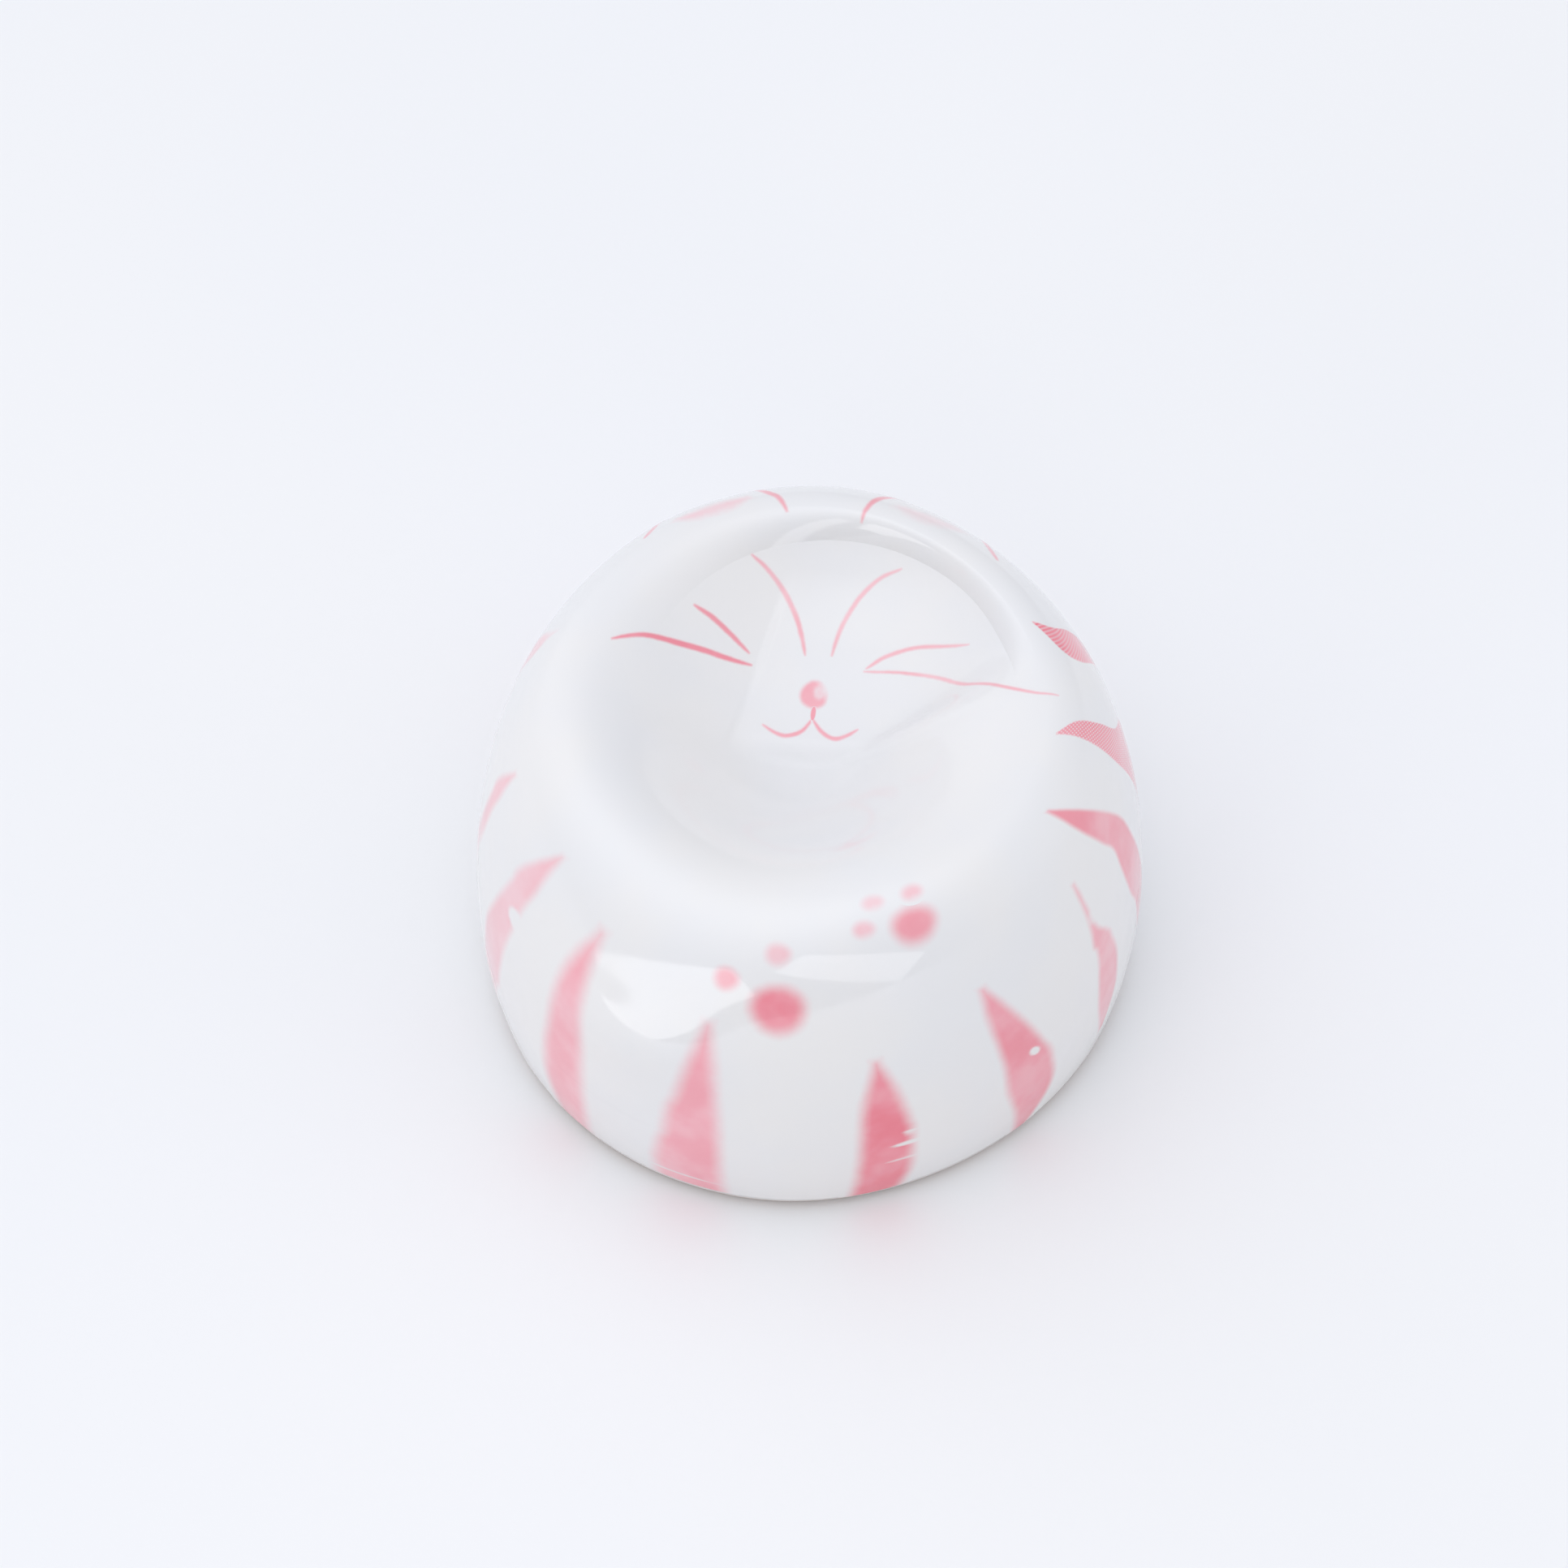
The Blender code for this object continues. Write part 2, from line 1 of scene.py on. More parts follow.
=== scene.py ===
"""Looks of the sleeping cat figurine: white glazed porcelain with a soft pink transfer print.

The coat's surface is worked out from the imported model's boxes with the CAD's own formulas, at a finer step.
Every printed mark is a thin sheet fused into the glaze: it carries the same glaze as the porcelain round it,
and its ink fades out before its edge.  Lengths inside the surface formulas are in millimetres, measured from
the point that the outline turns about; made_of() turns them into metres in the frame's own place.
"""

import math

import bpy
import numpy as np
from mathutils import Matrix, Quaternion, Vector


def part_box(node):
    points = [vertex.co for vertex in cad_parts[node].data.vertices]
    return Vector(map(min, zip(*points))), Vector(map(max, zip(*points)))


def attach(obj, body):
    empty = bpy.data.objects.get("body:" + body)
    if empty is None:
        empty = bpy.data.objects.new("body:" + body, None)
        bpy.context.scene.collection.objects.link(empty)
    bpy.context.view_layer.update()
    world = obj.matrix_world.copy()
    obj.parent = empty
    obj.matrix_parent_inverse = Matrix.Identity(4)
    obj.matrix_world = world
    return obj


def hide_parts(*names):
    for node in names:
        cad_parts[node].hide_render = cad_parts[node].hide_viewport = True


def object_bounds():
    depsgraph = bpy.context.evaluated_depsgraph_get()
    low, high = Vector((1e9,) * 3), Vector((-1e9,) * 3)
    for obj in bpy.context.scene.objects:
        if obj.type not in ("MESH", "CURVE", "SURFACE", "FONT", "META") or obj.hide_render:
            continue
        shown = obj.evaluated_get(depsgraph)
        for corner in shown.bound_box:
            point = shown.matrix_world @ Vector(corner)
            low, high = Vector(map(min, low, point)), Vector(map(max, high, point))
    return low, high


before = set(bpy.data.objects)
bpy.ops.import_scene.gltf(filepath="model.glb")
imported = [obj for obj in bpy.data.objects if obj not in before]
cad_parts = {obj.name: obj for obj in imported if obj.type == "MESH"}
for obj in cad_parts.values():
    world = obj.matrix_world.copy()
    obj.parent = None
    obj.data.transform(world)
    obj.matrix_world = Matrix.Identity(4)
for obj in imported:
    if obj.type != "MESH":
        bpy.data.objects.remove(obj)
cad_low, cad_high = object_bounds()

MM = 0.001
body_low, body_high = (np.array(corner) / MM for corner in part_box("body"))
head_low, head_high = (np.array(corner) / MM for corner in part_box("head"))

# ---------------------------------------------------------------- dimensions of the coat

HALF_WIDTH = (body_high[0] - body_low[0]) / 2
HEIGHT = body_high[2]
DEPTH_RATIO = 1.074
BELLY_HEIGHT = 6.1
PLAN_POWER = 1.945
PLAN_WOBBLE = 0.012
PLAN_WOBBLE_TURN = math.radians(-132.4)
FOOT_TUCK = 0.04
RIDGE = 0.69
SHOULDER_POWER = 2.04

HAUNCH_TURN = math.radians(252)
HAUNCH_SPREAD = math.radians(32)
RIDGE_SAG = 1.2
RIDGE_SHIFT = 0.05
SWELL_TURN = math.radians(246)
SWELL_HEIGHT = 12.8
SWELL_RISE = 0.8
SWELL_HALF_LENGTH = math.radians(15.2)
SWELL_HALF_HEIGHT = 2.6
SWELL_TILT = 0.3

SEAM_GAP = 0.3
SEAM_HALF_WIDTH = (head_high[0] - head_low[0] + SEAM_GAP) / 2
SEAM_HALF_DEPTH = (head_high[1] - head_low[1] + SEAM_GAP) / 2
DISH_FLOOR = 14.6
CREASE_HEIGHT = 19.8
CREASE_FULL = math.radians(52)
CREASE_FADE = math.radians(38)
DISH_STEEPNESS = 1.15
DISH_STEEPNESS_LEAN = 0.25

MUZZLE_RISE = 0.6
MUZZLE_LEVEL = 0.6
MUZZLE_CHEEK_X = -5.15
MUZZLE_CHEEK_LEAN = 0.26
MUZZLE_CHEEK_EDGE = 0.7
MUZZLE_FAR_X = 11.0
MUZZLE_FAR_FADE = 9.0
MUZZLE_CHIN_Y = 0.2
MUZZLE_CHIN_EDGE = 1.8
MUZZLE_BROW_Y = 11.5
MUZZLE_BROW_FADE = 4.0

WALL = 2.4
THROAT_DEPTH = 2.6
HEAD_THICKNESS = 2.3
FOOT_ROUNDING = 0.7
FOOT_WIDTH = 2.4
FOOT_RECESS = 0.9
VENT_RADIUS = 3.0
VENT_BEVEL = 0.2
THROAT_EDGE = 0.02
# The bare band that climbs the foot's rounding is darkened partly as painted contact shadow along the bottom
# edge.
BARE_AND_SHADE_BAND_TURN = 140  # degrees round the foot's rounding at which its bareness would reach nothing

# Slow unevenness left by fettling and by the glaze's own flow.
SLUMP = 0.035

# Rows and columns of the meshes.
AROUND = 320
WALL_ROWS = 14
SHOULDER_ROWS = 64
LIP_ROWS = 16
HEAD_ROWS = 84
UNDERSIDE_ROWS = 12
HOLLOW_ROWS = 9
STRIPE_GRID = {"rows": 110, "columns": 30}
LINE_GRID = {"rows": 110, "columns": 12}
BLUSH_GRID = {"rows": 90, "columns": 24}
OVAL_GRID = 33

PROBE = 1e-4  # the step of a numerical slope
OUTLINE_STEPS = 1440
RIDGE_STEPS = 12  # rounds that settle how far away the ridge is

PRINT_LIFT = 0.012  # how far a printed sheet stands out of the glaze
PRINT_LAYER = 0.002  # how much higher a print lies on another one
PRINT_SINK = 0.006  # how far its bare border dips under the glaze
PRINT_DEPTH = 0.04  # how far behind its face its hidden back lies
PRINT_BORDER = 0.08  # how far the sheet reaches past the end of its ink
BORDER_CLEAR = 0.05  # how far past the end of its ink it starts to dip
FLAW_CORE = 0.4
FLAW_FADE = 0.9
THIN_END = 0.25  # the share of its width that a brushed line keeps at its very ends
OVAL_WAVER = 0.03


# ---------------------------------------------------------------- the coat's surface

def ease(value):
    value = np.clip(value, 0.0, 1.0)
    return value * value * (3.0 - 2.0 * value)


def gentle_ease(value):
    """Like ease, but it sets off and arrives without any change of curvature."""
    value = np.clip(value, 0.0, 1.0)
    return value**3 * (10 - 15 * value + 6 * value**2)


def wrapped(angle):
    return np.remainder(angle + np.pi, 2 * np.pi) - np.pi


def plan_radius(azimuth):
    across = np.abs(np.cos(azimuth)) / HALF_WIDTH
    along = np.abs(np.sin(azimuth)) / (HALF_WIDTH * DEPTH_RATIO)
    radius = (across**PLAN_POWER + along**PLAN_POWER) ** (-1 / PLAN_POWER)
    return radius * (1 + PLAN_WOBBLE * np.cos(3 * (azimuth - PLAN_WOBBLE_TURN)))


def plan_middle():
    """The middle of the outline's box, seen from the centre that the formulas turn about."""
    azimuth = np.linspace(0, 2 * np.pi, OUTLINE_STEPS + 1)
    x = plan_radius(azimuth) * np.cos(azimuth)
    y = plan_radius(azimuth) * np.sin(azimuth)
    return np.array([(x.max() + x.min()) / 2, (y.max() + y.min()) / 2])


ORIGIN = (body_low[:2] + body_high[:2]) / 2 - plan_middle()
SEAM_CENTRE = (head_low[:2] + head_high[:2]) / 2 - ORIGIN


def near_haunch(azimuth):
    return np.exp(-((wrapped(azimuth - HAUNCH_TURN) / HAUNCH_SPREAD) ** 2))


def ridge_height(azimuth):
    return HEIGHT - RIDGE_SAG * near_haunch(azimuth)


def ridge_share(azimuth):
    return RIDGE - RIDGE_SHIFT * near_haunch(azimuth)


def swell(azimuth, height):
    round_it = wrapped(azimuth - SWELL_TURN) / SWELL_HALF_LENGTH
    up_it = (height - SWELL_HEIGHT) / SWELL_HALF_HEIGHT
    return SWELL_RISE * np.exp(-(round_it**2) - up_it**2)


def seam_radius(bearing):
    return 1 / np.hypot(np.cos(bearing) / SEAM_HALF_WIDTH, np.sin(bearing) / SEAM_HALF_DEPTH)


def ridge_distance(bearing):
    distance = np.full_like(bearing, SEAM_HALF_DEPTH)
    for _ in range(RIDGE_STEPS):
        x = SEAM_CENTRE[0] + distance * np.cos(bearing)
        y = SEAM_CENTRE[1] + distance * np.sin(bearing)
        azimuth = np.arctan2(y, x)
        distance = distance - np.hypot(x, y) + ridge_share(azimuth) * plan_radius(azimuth)
    return distance


def muzzle_share(x, y):
    """1 on the muzzle: its near cheek is crisp, and it melts away at the other side and at the brow."""
    near_cheek = ease((x - MUZZLE_CHEEK_X - MUZZLE_CHEEK_LEAN * y) / MUZZLE_CHEEK_EDGE)
    far_cheek = ease((MUZZLE_FAR_X - x) / MUZZLE_FAR_FADE)
    chin = ease((y - MUZZLE_CHIN_Y) / MUZZLE_CHIN_EDGE)
    brow = ease((MUZZLE_BROW_Y - y) / MUZZLE_BROW_FADE)
    return near_cheek * far_cheek * chin * brow


def dish_height(x, y, inside_seam=None):
    """Height of the top inside the ridge; inside_seam picks a side for points right on the seam."""
    share = muzzle_share(x, y)
    level = hollow_height(np.maximum(x, SEAM_CENTRE[0]), y, inside_seam)
    plain = hollow_height(x, y, inside_seam)
    return plain + share * (MUZZLE_RISE + MUZZLE_LEVEL * (level - plain))


def hollow_height(x, y, inside_seam):
    """The dish and the lip behind the face, without the muzzle."""
    dx, dy = x - SEAM_CENTRE[0], y - SEAM_CENTRE[1]
    bearing = np.arctan2(dy, dx)
    ridge = ridge_distance(bearing)
    seam = seam_radius(bearing)
    distance = np.minimum(np.hypot(dx, dy), ridge)
    rim_x = SEAM_CENTRE[0] + ridge * np.cos(bearing)
    rim_y = SEAM_CENTRE[1] + ridge * np.sin(bearing)
    top = ridge_height(np.arctan2(rim_y, rim_x))
    steepness = DISH_STEEPNESS - DISH_STEEPNESS_LEAN * np.cos(bearing)
    turn = np.pi * (distance / ridge) ** steepness
    soft = DISH_FLOOR + (top - DISH_FLOOR) * (1 - np.cos(turn)) / 2
    within = DISH_FLOOR + (CREASE_HEIGHT - DISH_FLOOR) * (distance / seam) ** 2
    beyond = top - (top - CREASE_HEIGHT) * ((ridge - distance) / (ridge - seam)) ** 2
    is_within = distance < seam if inside_seam is None else inside_seam
    creased = np.where(is_within, within, beyond)
    off_rear = np.abs(wrapped(bearing - np.pi / 2))
    crease_share = 1 - gentle_ease((off_rear - CREASE_FULL) / CREASE_FADE)
    return soft + crease_share * (creased - soft)


def slump(x, y, z):
    """A slow wander of the surface, always inwards, as a distance to take off along the normal."""
    wave = np.sin(0.31 * x + 0.17 * y + 0.9) * np.sin(0.27 * y - 0.21 * z + 0.4)
    wave += 0.5 * np.sin(0.53 * y + 0.35 * z + 2.1) * np.sin(0.47 * x - 0.3 * z)
    return -SLUMP * (1.5 + wave)


def polar_row(radius, azimuth, height):
    radius = np.broadcast_to(radius, azimuth.shape)
    height = np.broadcast_to(height, azimuth.shape)
    return np.stack([radius * np.cos(azimuth), radius * np.sin(azimuth), height], -1)


def wall_point(azimuth, section):
    """The coat before the slump: section 0 is the table, 1 the belly, 2 the ridge and beyond it the dish."""
    radius = plan_radius(azimuth)
    low = np.clip(section, 0, 1)
    turn = np.clip(section - 1, 0, 1) * np.pi / 2
    reach = np.cos(turn) ** (2 / SHOULDER_POWER)
    lift = np.sin(turn) ** (2 / SHOULDER_POWER)
    share = ridge_share(azimuth)
    high = BELLY_HEIGHT + (ridge_height(azimuth) - BELLY_HEIGHT) * lift
    tucked = radius * (1 - FOOT_TUCK * (1 - low) ** 2)
    outwards = np.where(section <= 1, tucked, radius * (share + (1 - share) * reach))
    height = np.where(section <= 1, BELLY_HEIGHT * low, high)
    rise = np.where(section > 1, swell(azimuth, height), 0.0)
    outwards = outwards + rise * math.cos(SWELL_TILT)
    wall = polar_row(outwards, azimuth, height + rise * math.sin(SWELL_TILT))
    inward = np.maximum(section - 2, 0)
    x = (1 - inward) * share * radius * np.cos(azimuth) + inward * SEAM_CENTRE[0]
    y = (1 - inward) * share * radius * np.sin(azimuth) + inward * SEAM_CENTRE[1]
    return np.where((section > 2)[..., None], np.stack([x, y, dish_height(x, y)], -1), wall)


def top_point(x, y, inside_seam=None):
    """The coat above a plan position anywhere inside the belly line, before the slump."""
    azimuth = np.arctan2(y, x)
    share = np.hypot(x, y) / plan_radius(azimuth)
    ridge = ridge_share(azimuth)
    reach = np.clip((share - ridge) / (1 - ridge), 0, 1) ** (SHOULDER_POWER / 2)
    lift = np.sqrt(1 - reach**2) ** (2 / SHOULDER_POWER)
    outside = BELLY_HEIGHT + (ridge_height(azimuth) - BELLY_HEIGHT) * lift
    on_dish = share <= ridge if inside_seam is None else True
    return np.stack([x, y, np.where(on_dish, dish_height(x, y, inside_seam), outside)], -1)


def unit(vectors):
    return vectors / np.maximum(np.linalg.norm(vectors, axis=-1, keepdims=True), 1e-12)


def with_normals(surface, a, b, **options):
    """Points on a surface of two numbers and their outward normals, slump included."""
    def slumped(a, b):
        point = surface(a, b, **options)
        out = unit(point - np.array([0, 0, BELLY_HEIGHT]))
        return point + out * slump(*np.moveaxis(point, -1, 0))[..., None]

    step = 10 * PROBE
    first = slumped(a + step, b) - slumped(a - step, b)
    second = slumped(a, b + step) - slumped(a, b - step)
    return slumped(a, b), unit(np.cross(first, second))


def section_at(height):
    """The wall's section value at a height, away from the haunch."""
    lift = np.clip((height - BELLY_HEIGHT) / (HEIGHT - BELLY_HEIGHT), 0, 1)
    upper = 1 + np.arcsin(lift ** (SHOULDER_POWER / 2)) * 2 / np.pi
    return np.where(height <= BELLY_HEIGHT, height / BELLY_HEIGHT, upper)


# ---------------------------------------------------------------- meshes

def made_of(name, points, faces, normals, material, stands_for, attributes=()):
    """A piece from millimetre points; normals are zero where the mesh's own will do."""
    mesh = bpy.data.meshes.new(name)
    placed = (points + np.array([*ORIGIN, 0.0])) * MM
    mesh.from_pydata(placed.tolist(), [], faces)
    mesh.validate()
    for key, values in attributes:
        layer = mesh.attributes.new(key, "FLOAT", "POINT")
        layer.data.foreach_set("value", np.asarray(values, np.float32))
    mesh.shade_smooth()
    mesh.update()
    mesh.normals_split_custom_set_from_vertices(normals.tolist())
    mesh.materials.append(material)
    piece = bpy.data.objects.new(name, mesh)
    bpy.context.scene.collection.objects.link(piece)
    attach(piece, "root")
    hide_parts(stands_for)


def ring_faces(rows, around, first=0):
    """Quads between closed rows of vertices, from the first row to the last."""
    faces = []
    for row in range(rows - 1):
        for i in range(around):
            j = (i + 1) % around
            low = first + row * around
            faces.append((low + i, low + j, low + around + j, low + around + i))
    return faces


def glazed_body(material):
    """Foot, coat, lip, throat and the hollow inside, as one closed skin; it returns its rows' bearings."""
    azimuth = np.arange(AROUND) * 2 * np.pi / AROUND
    none = np.zeros((AROUND, 3))
    radius = plan_radius(azimuth)
    foot = np.hypot(*np.moveaxis(wall_point(azimuth, np.zeros(AROUND))[:, :2], -1, 0)) - FOOT_ROUNDING
    rows, normals, bare = [], [], []

    def add(points, directions=None, bare_and_contact_shade=0.0):
        rows.append(points)
        normals.append(none if directions is None else directions)
        bare.append(np.full(AROUND, bare_and_contact_shade))

    # The base, from the vent out over the recess to the foot ring's bare underside.
    add(polar_row(VENT_RADIUS, azimuth, FOOT_RECESS + VENT_BEVEL))
    add(polar_row(VENT_RADIUS + VENT_BEVEL, azimuth, FOOT_RECESS))
    inner = foot - FOOT_WIDTH
    for share in (0.35, 0.7):
        add(polar_row(VENT_RADIUS + share * (inner - FOOT_RECESS - VENT_RADIUS), azimuth, FOOT_RECESS))
    add(polar_row(inner - FOOT_RECESS, azimuth, FOOT_RECESS))
    add(polar_row(inner - 0.25 * FOOT_RECESS, azimuth, 0.2 * FOOT_RECESS), None, 0.2)
    add(polar_row(inner + 0.15, azimuth, 0.0), None, 1.0)
    add(polar_row(foot - 0.05, azimuth, 0.0), None, 1.0)
    # Up the foot's rounding the bare share fades out: a dark band that is partly unglazed foot and partly
    # painted contact shadow.
    for turn in (20, 45, 70):
        lean = math.radians(turn)
        out = foot + FOOT_ROUNDING * math.sin(lean)
        up = FOOT_ROUNDING * (1 - math.cos(lean))
        add(polar_row(out, azimuth, up), None, 1 - turn / BARE_AND_SHADE_BAND_TURN)

    # The coat up to the ridge, and the lip down to the seam.
    start = FOOT_ROUNDING / BELLY_HEIGHT
    sections = list(start + (1 - start) * np.arange(1, WALL_ROWS) / WALL_ROWS)
    sections += list(1 + np.arange(SHOULDER_ROWS) / SHOULDER_ROWS)
    for section in sections:
        add(*with_normals(wall_point, azimuth, np.full(AROUND, section)))
    ridge = polar_row(ridge_share(azimuth) * radius, azimuth, 0)[:, :2]
    away = ridge - SEAM_CENTRE
    bearing = np.arctan2(away[:, 1], away[:, 0])
    seam = SEAM_CENTRE + seam_radius(bearing)[:, None] * np.stack([np.cos(bearing), np.sin(bearing)], -1)
    for row in range(LIP_ROWS + 1):
        spot = ridge + (seam - ridge) * row / LIP_ROWS
        add(*with_normals(top_point, spot[:, 0], spot[:, 1], inside_seam=False))

    # The throat and the hollow inside, back to the vent.
    lip = rows[-1]
    add(lip - np.array([0, 0, THROAT_EDGE]))
    add(lip - np.array([0, 0, THROAT_DEPTH]))
    crest = ridge_share(azimuth) * radius
    reach = radius - crest - WALL
    rise = ridge_height(azimuth) - BELLY_HEIGHT - WALL
    for i in range(HOLLOW_ROWS):
        turn = (1 - i / (HOLLOW_ROWS - 1)) * math.pi / 2
        add(polar_row(crest + reach * math.cos(turn), azimuth, BELLY_HEIGHT + rise * math.sin(turn)))
    floor = FOOT_RECESS + WALL
    add(polar_row(radius - WALL - 0.5, azimuth, floor + 0.6))
    add(polar_row(radius - WALL - 2.0, azimuth, floor))
    add(polar_row(radius / 2, azimuth, floor))
    add(polar_row(VENT_RADIUS, azimuth, floor))
    count = len(rows)
    faces = ring_faces(count, AROUND)
    last = (count - 1) * AROUND
    faces += [(last + i, last + (i + 1) % AROUND, (i + 1) % AROUND, i) for i in range(AROUND)]
    made_of(
        "glazed_body", np.concatenate(rows), faces, np.concatenate(normals), material, "body",
        [("bare", np.concatenate(bare))],
    )
    return bearing


def glazed_head(material, bearing):
    """The dished head; its top meets the body's lip point for point."""
    seam = seam_radius(bearing)
    thickness = np.array([0, 0, HEAD_THICKNESS])
    rows, normals = [], []
    for row in range(HEAD_ROWS, 0, -1):
        reach = seam * row / HEAD_ROWS
        x = SEAM_CENTRE[0] + reach * np.cos(bearing)
        y = SEAM_CENTRE[1] + reach * np.sin(bearing)
        points, directions = with_normals(top_point, x, y, inside_seam=True)
        rows.append(points)
        normals.append(directions)
    top = np.concatenate(rows)
    count = len(bearing)
    under = []
    for row in range(UNDERSIDE_ROWS):
        share = 1 - row / UNDERSIDE_ROWS
        x = SEAM_CENTRE[0] + seam * share * np.cos(bearing)
        y = SEAM_CENTRE[1] + seam * share * np.sin(bearing)
        under.append(top_point(x, y, inside_seam=True) - thickness)
    middle = np.array([SEAM_CENTRE])
    peak, peak_normal = with_normals(top_point, middle[:, 0] + 10 * PROBE, middle[:, 1], inside_seam=True)
    base = peak - thickness
    points = np.concatenate([top, peak, *under, base])
    normal = np.concatenate([*normals, peak_normal, np.zeros((len(under) * count + 1, 3))])
    faces = ring_faces(HEAD_ROWS, count)
    low = (HEAD_ROWS - 1) * count
    centre = HEAD_ROWS * count
    faces += [(low + i, low + (i + 1) % count, centre) for i in range(count)]
    first = centre + 1
    faces += [tuple(reversed(face)) for face in ring_faces(len(under), count, first)]
    faces += [((i + 1) % count, i, first + i, first + (i + 1) % count) for i in range(count)]
    last = first + (len(under) - 1) * count
    base_at = len(points) - 1
    faces += [(last + (i + 1) % count, last + i, base_at) for i in range(count)]
    made_of("glazed_head", points, faces, normal, material, "head")


# ---------------------------------------------------------------- printed marks

def smooth_path(points):
    """A Catmull-Rom curve through a few points, as a function of an array of shares."""
    points = np.array(points, float)
    padded = np.concatenate([2 * points[:1] - points[1:2], points, 2 * points[-1:] - points[-2:-1]])
    spans = len(points) - 1

    def at(share):
        share = np.atleast_1d(share) * spans
        span = np.clip(share.astype(int), 0, spans - 1)
        t = (share - span)[:, None]
        a, b, c, d = (padded[span + k] for k in range(4))
        bend = 2 * a - 5 * b + 4 * c - d
        twist = 3 * b - a - 3 * c + d
        return 0.5 * (2 * b + (c - a) * t + bend * t**2 + twist * t**3)

    return at


def metric(surface, spots):
    """How far a unit step of each coordinate moves in space, at each spot."""
    a, b = spots[..., 0], spots[..., 1]
    first = (surface(a + PROBE, b) - surface(a - PROBE, b)) / (2 * PROBE)
    second = (surface(a, b + PROBE) - surface(a, b - PROBE)) / (2 * PROBE)
    return first, second


def step_along(surface, spots, moves):
    """The coordinates reached from each spot by a small move in space along the surface."""
    first, second = metric(surface, spots)
    aa = np.sum(first * first, -1)
    bb = np.sum(second * second, -1)
    ab = np.sum(first * second, -1)
    along = np.sum(moves * first, -1)
    beside = np.sum(moves * second, -1)
    whole = aa * bb - ab * ab
    steps = [(along * bb - beside * ab) / whole, (beside * aa - along * ab) / whole]
    return spots + np.stack(steps, -1)


def printed_skin(
    name, surface, left, right, look, rows, columns, soft, flaws=(), blunt=False, level=False,
):
    """A printed mark between two edges, given as functions of 0 to 1 that return surface coordinates.

    The sheet reaches past the mark on every side, and its ink falls to nothing there: soft is how wide that
    fall is in millimetres.  A blunt mark has no fall at its foot, and the rows of a level one run straight
    round the coat.
    """
    margin = 0.5 * soft + PRINT_BORDER
    share = np.linspace(0, 1, rows)
    a, b = left(share), right(share)
    middle = (a + b) / 2
    spine = surface(middle[:, 0], middle[:, 1])
    ahead = unit(np.gradient(spine, axis=0))
    pa = surface(a[:, 0], a[:, 1])
    pb = surface(b[:, 0], b[:, 1])
    first, second = metric(surface, middle)
    side = unit(first) if level else np.cross(unit(np.cross(first, second)), ahead)
    side *= np.sign(np.sum((pb - pa) * side, 1).sum() or 1)
    width = np.abs(np.sum((pb - pa) * side, 1))

    # Two more rows past each end, so the tips fade out too.
    far = margin * np.array([-1.0, -0.5])[:, None]
    lead = step_along(surface, np.repeat(middle[:1], 2, 0), ahead[:1] * far)
    tail = step_along(surface, np.repeat(middle[-1:], 2, 0), -ahead[-1:] * far[::-1])
    if blunt:
        tail = tail[:0]
    line = np.concatenate([lead, middle, tail])
    extra = len(tail)
    sides = np.concatenate([np.repeat(side[:1], 2, 0), side, np.repeat(side[-1:], extra, 0)])
    widths = np.concatenate([np.repeat(width[:1], 2), width, np.repeat(width[-1:], extra)])[:, None]
    lengths = np.concatenate([[0], np.cumsum(np.linalg.norm(np.diff(spine, axis=0), axis=1))])
    length = lengths[-1]
    after = length + np.array([margin / 2, margin])[:extra]
    past = np.concatenate([[-margin, -margin / 2], lengths, after])

    # Fine columns across the fading edges, and wider ones between them.
    reach = widths / 2 + margin
    core = np.maximum(widths / 2 - margin, 0.2 * reach)
    edge_columns = columns // 3
    fringe = core + (reach - core) * np.linspace(0, 1, edge_columns + 1)[1:]
    plain = core * np.linspace(-1, 1, columns + 1 - 2 * edge_columns)
    beside = np.concatenate([-fringe[:, ::-1], plain, fringe], 1)
    along = np.repeat(past[:, None], columns + 1, 1)
    spots = np.repeat(line[:, None], columns + 1, 1)
    if level:
        round_it = np.linalg.norm(metric(surface, line)[0], axis=1)
        spots[..., 0] += np.sign(b - a)[:, 0].sum().clip(-1, 1) * beside / round_it[:, None]
    else:
        spots = step_along(surface, spots, sides[:, None] * beside[..., None])

    inside = np.minimum(widths / 2 - np.abs(beside), along)
    if not blunt:
        inside = np.minimum(inside, length - along)
    ink = worn(np.clip(0.5 + inside / soft, 0, 1), along, beside, length, widths, flaws)
    coat = with_normals(surface, spots[..., 0], spots[..., 1])
    inked_sheet(name, coat, inside, soft, ink, along, beside, look)


def worn(ink, along, beside, length, width, flaws):
    """The ink without its flaws: share along, place across from -1 to 1, half sizes in mm, and share gone."""
    for at_share, at_side, half_long, half_wide, gone in flaws:
        dx = (along - at_share * length) / half_long
        dy = (beside - at_side * width / 2) / half_wide
        ink = ink * (1 - gone * (1 - ease((np.hypot(dx, dy) - FLAW_CORE) / FLAW_FADE)))
    return ink


def inked_sheet(name, coat, inside, soft, ink, along, beside, look):
    """A sheet that is just clear of the coat where it has ink and just under it beyond its edge."""
    points, normals = coat
    top = PRINT_LIFT + PRINT_LAYER * LAYERS.get(name, 0)
    lift = -PRINT_SINK + (top + PRINT_SINK) * ease((inside + 0.5 * soft + BORDER_CLEAR) / PRINT_BORDER)
    strength, depth = TONES.get(name, PLAIN_TONE)
    values = {
        "ink": ink, "along": along, "beside": beside,
        "strength": np.full_like(ink, strength), "depth": np.full_like(ink, depth),
    }
    skin_piece(name, points + normals * lift[..., None], normals, values, look)


